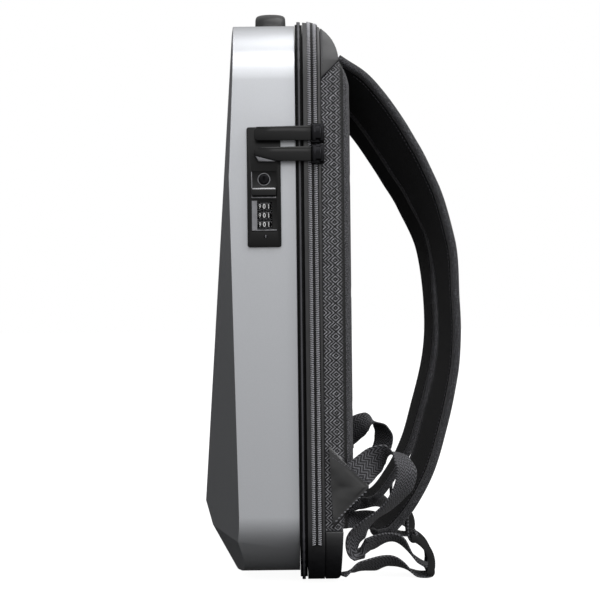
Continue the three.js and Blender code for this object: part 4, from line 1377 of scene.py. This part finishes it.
def make_gusset(name, side):
    inner = local_box("gusset_right")[0].x
    thickness = local_box("gusset_right")[1].x - inner
    verts, faces = [], []
    for layer in (0, 1):
        for i in range(WING_STEPS + 1):
            for j in range(WING_STEPS + 1):
                u, v = i / WING_STEPS, j / WING_STEPS
                place = wing_place(u, v)
                height = (wing_place(u, 1) - wing_place(u, 0)).length
                from_edge = min(v, 1 - v) * height * 0.8
                fold = 1 - smooth_step(from_edge, FOLD_WIDTH - 1.2, FOLD_WIDTH)
                edge = smooth_step(from_edge, 0, 0.9)
                wrinkle = noise.noise(Vector((place.x * 0.07, place.y * 0.05, 1.7 + side)))
                puff = 1.1 * math.sin(math.pi * min(1, from_edge / 22 + 0.05)) + 0.9 * wrinkle
                rise = thickness - 0.9 + (0.55 * fold + puff * (1 - fold)) * edge + 0.5 * edge
                x = inner + (rise if layer else 0)
                verts.append(at(side * x, place.x, place.y))
    count = WING_STEPS + 1
    total = count * count
    for i in range(WING_STEPS):
        for j in range(WING_STEPS):
            a = i * count + j
            face = (a, a + 1, a + count + 1, a + count)
            faces.append(face)
            faces.append(tuple(reversed([k + total for k in face])))
    rim = [j for j in range(count)] + [i * count + WING_STEPS for i in range(1, count)]
    rim += [WING_STEPS * count + j for j in reversed(range(WING_STEPS))]
    rim += [i * count for i in reversed(range(1, WING_STEPS))]
    for a, b in zip(rim, rim[1:] + rim[:1]):
        faces.append((a, a + total, b + total, b))
    if side > 0:
        faces = [tuple(reversed(face)) for face in faces]
    new_piece(f"gusset_wing_{name}", verts, faces, GUSSET_COAT, slot="coated", stands_for=(f"gusset_{name}",))
    lines = []
    reach = inner + thickness + 0.25
    for share in (0.045, 0.12):
        lines.append([at(side * reach, *wing_place(u / 20, 1 - share * (1 - u / 24))) for u in range(1, 20)])
    add_stitches(f"gusset_top_stitching_{name}", lines, pitch=2.6, length=2.0, radius=0.3)
    low_line = [at(side * reach, *wing_place(u / 20, 0.06)) for u in range(1, 20)]
    add_stitches(
        f"gusset_low_stitching_{name}", [low_line], finish=PALE_THREAD, pitch=3.3, length=2.2, radius=0.55,
        slant=Vector((0, 0.9, -0.4)),
    )


def make_side(name, side):
    make_strap(name, side)
    make_webbing(name, side)
    make_gusset(name, side)
    softened(f"ladder_lock_{name}", f"strap_buckle_{name}", GLOSS_ABS, 1.9, 3)


# Floor, light and camera

CAMERA_X = 1.2486
CAMERA_Y = 0.81          # from the parting plane, in millimetres
CAMERA_Z = 0.240
CAMERA_LENS = 79.5
CAMERA_ROLL = -0.64
FLOOR_HALF = 9.0
FLOOR_GLOW = 3.5        # the lit table under the bag, which leaves only a faint shadow


def make_camera():
    data = bpy.data.cameras.new("camera")
    data.lens = CAMERA_LENS
    data.sensor_width = 36
    data.clip_end = 60
    camera = bpy.data.objects.new("camera", data)
    turn = Vector((-1, 0, 0)).to_track_quat("-Z", "Y").to_matrix().to_4x4()
    roll = Matrix.Rotation(math.radians(CAMERA_ROLL), 4, "Z")
    place = at(0, CAMERA_Y, 0)
    camera.matrix_world = Matrix.Translation((CAMERA_X, place.y, CAMERA_Z)) @ turn @ roll
    bpy.context.scene.collection.objects.link(camera)
    bpy.context.scene.camera = camera


def make_floor():
    corners = [(-1, -1), (1, -1), (1, 1), (-1, 1)]
    mesh = bpy.data.meshes.new("floor")
    mesh.from_pydata([(x * FLOOR_HALF, y * FLOOR_HALF, -0.0003) for x, y in corners], [], [(0, 1, 2, 3)])
    material, tree = new_material("matt studio floor")
    where = add(tree, "ShaderNodeTexCoord").outputs["Object"]
    cloud = add(tree, "ShaderNodeTexNoise", {"Scale": 3, "Detail": 2}, {"Vector": where})
    colour = add(
        tree, "ShaderNodeMix", {"data_type": "RGBA", 6: linear("#8C8C8C"), 7: linear("#909090")},
        {0: cloud.outputs["Fac"]},
    )
    shader = add(
        tree, "ShaderNodeBsdfPrincipled",
        {"Roughness": 0.9, "Specular IOR Level": 0.1, "Emission Strength": FLOOR_GLOW},
        {"Base Color": colour.outputs[2], "Emission Color": colour.outputs[2]},
    )
    finish_material(tree, shader)
    mesh.materials.append(material)
    floor = bpy.data.objects.new("floor", mesh)
    bpy.context.scene.collection.objects.link(floor)
    floor.visible_glossy = False
    floor.visible_diffuse = False


# Soft boxes: where each stands, what it faces, its width and height in metres and its power in watts.
SOFT_BOXES = {
    "overhead": ((0.1, 0.3, 1.7), (0, 0, 0.2), 1.0, 0.8, 5),
    "key_right": ((0.8, 1.1, 1.0), (0, 0.03, 0.3), 0.35, 1.0, 7),
    "high_front": ((0.74, 0.05, 1.16), (0.15, 0, 0.42), 0.5, 0.36, 2.0),
    "upper_wash": ((0.95, 0.0, 0.8), (0.15, 0, 0.4), 0.6, 0.5, 0.9),
}


def make_lights():
    for name, (place, target, width, height, power) in SOFT_BOXES.items():
        data = bpy.data.lights.new(name, "AREA")
        data.shape = "RECTANGLE"
        data.size = width
        data.size_y = height
        data.energy = power
        lamp = bpy.data.objects.new(name, data)
        lamp.location = place
        aim = Vector(target) - Vector(place)
        lamp.rotation_euler = aim.to_track_quat("-Z", "Y").to_euler()
        bpy.context.scene.collection.objects.link(lamp)


def make_world():
    """A studio that is light above and on the camera's side and dark beyond the bag. The camera itself
    sees plain white."""
    world = bpy.data.worlds.new("studio")
    world.use_nodes = True
    tree = world.node_tree
    tree.nodes.clear()
    way = add(tree, "ShaderNodeTexCoord").outputs["Generated"]
    side = add(
        tree, "ShaderNodeVectorMath", {"operation": "DOT_PRODUCT", 1: (0.5, 0.25, 1.0)}, {0: way},
    )
    glow = add(
        tree, "ShaderNodeMapRange",
        {
            "interpolation_type": "SMOOTHSTEP",
            "From Min": -0.6, "From Max": 0.8, "To Min": 0.01, "To Max": 0.95,
        },
        {"Value": side.outputs["Value"]},
    )
    room = add(tree, "ShaderNodeBackground", links={"Strength": glow.outputs["Result"]})
    white = add(tree, "ShaderNodeBackground", {"Color": (1, 1, 1, 1), "Strength": 1.0})
    ray = add(tree, "ShaderNodeLightPath")
    both = add(tree, "ShaderNodeMixShader", links={
        0: ray.outputs["Is Camera Ray"], 1: room.outputs["Background"], 2: white.outputs["Background"],
    })
    add(tree, "ShaderNodeOutputWorld", links={"Surface": both.outputs["Shader"]})
    bpy.context.scene.world = world


make_camera()
make_floor()
make_lights()
make_world()
make_shell()
make_rim()
make_rear_body()
make_back_panel()
make_zipper()
make_sliders()
make_pulls()
make_lock()
make_dials()
make_handle()
make_side("right", 1)
make_side("left", -1)
bpy.context.scene.view_settings.view_transform = "Standard"
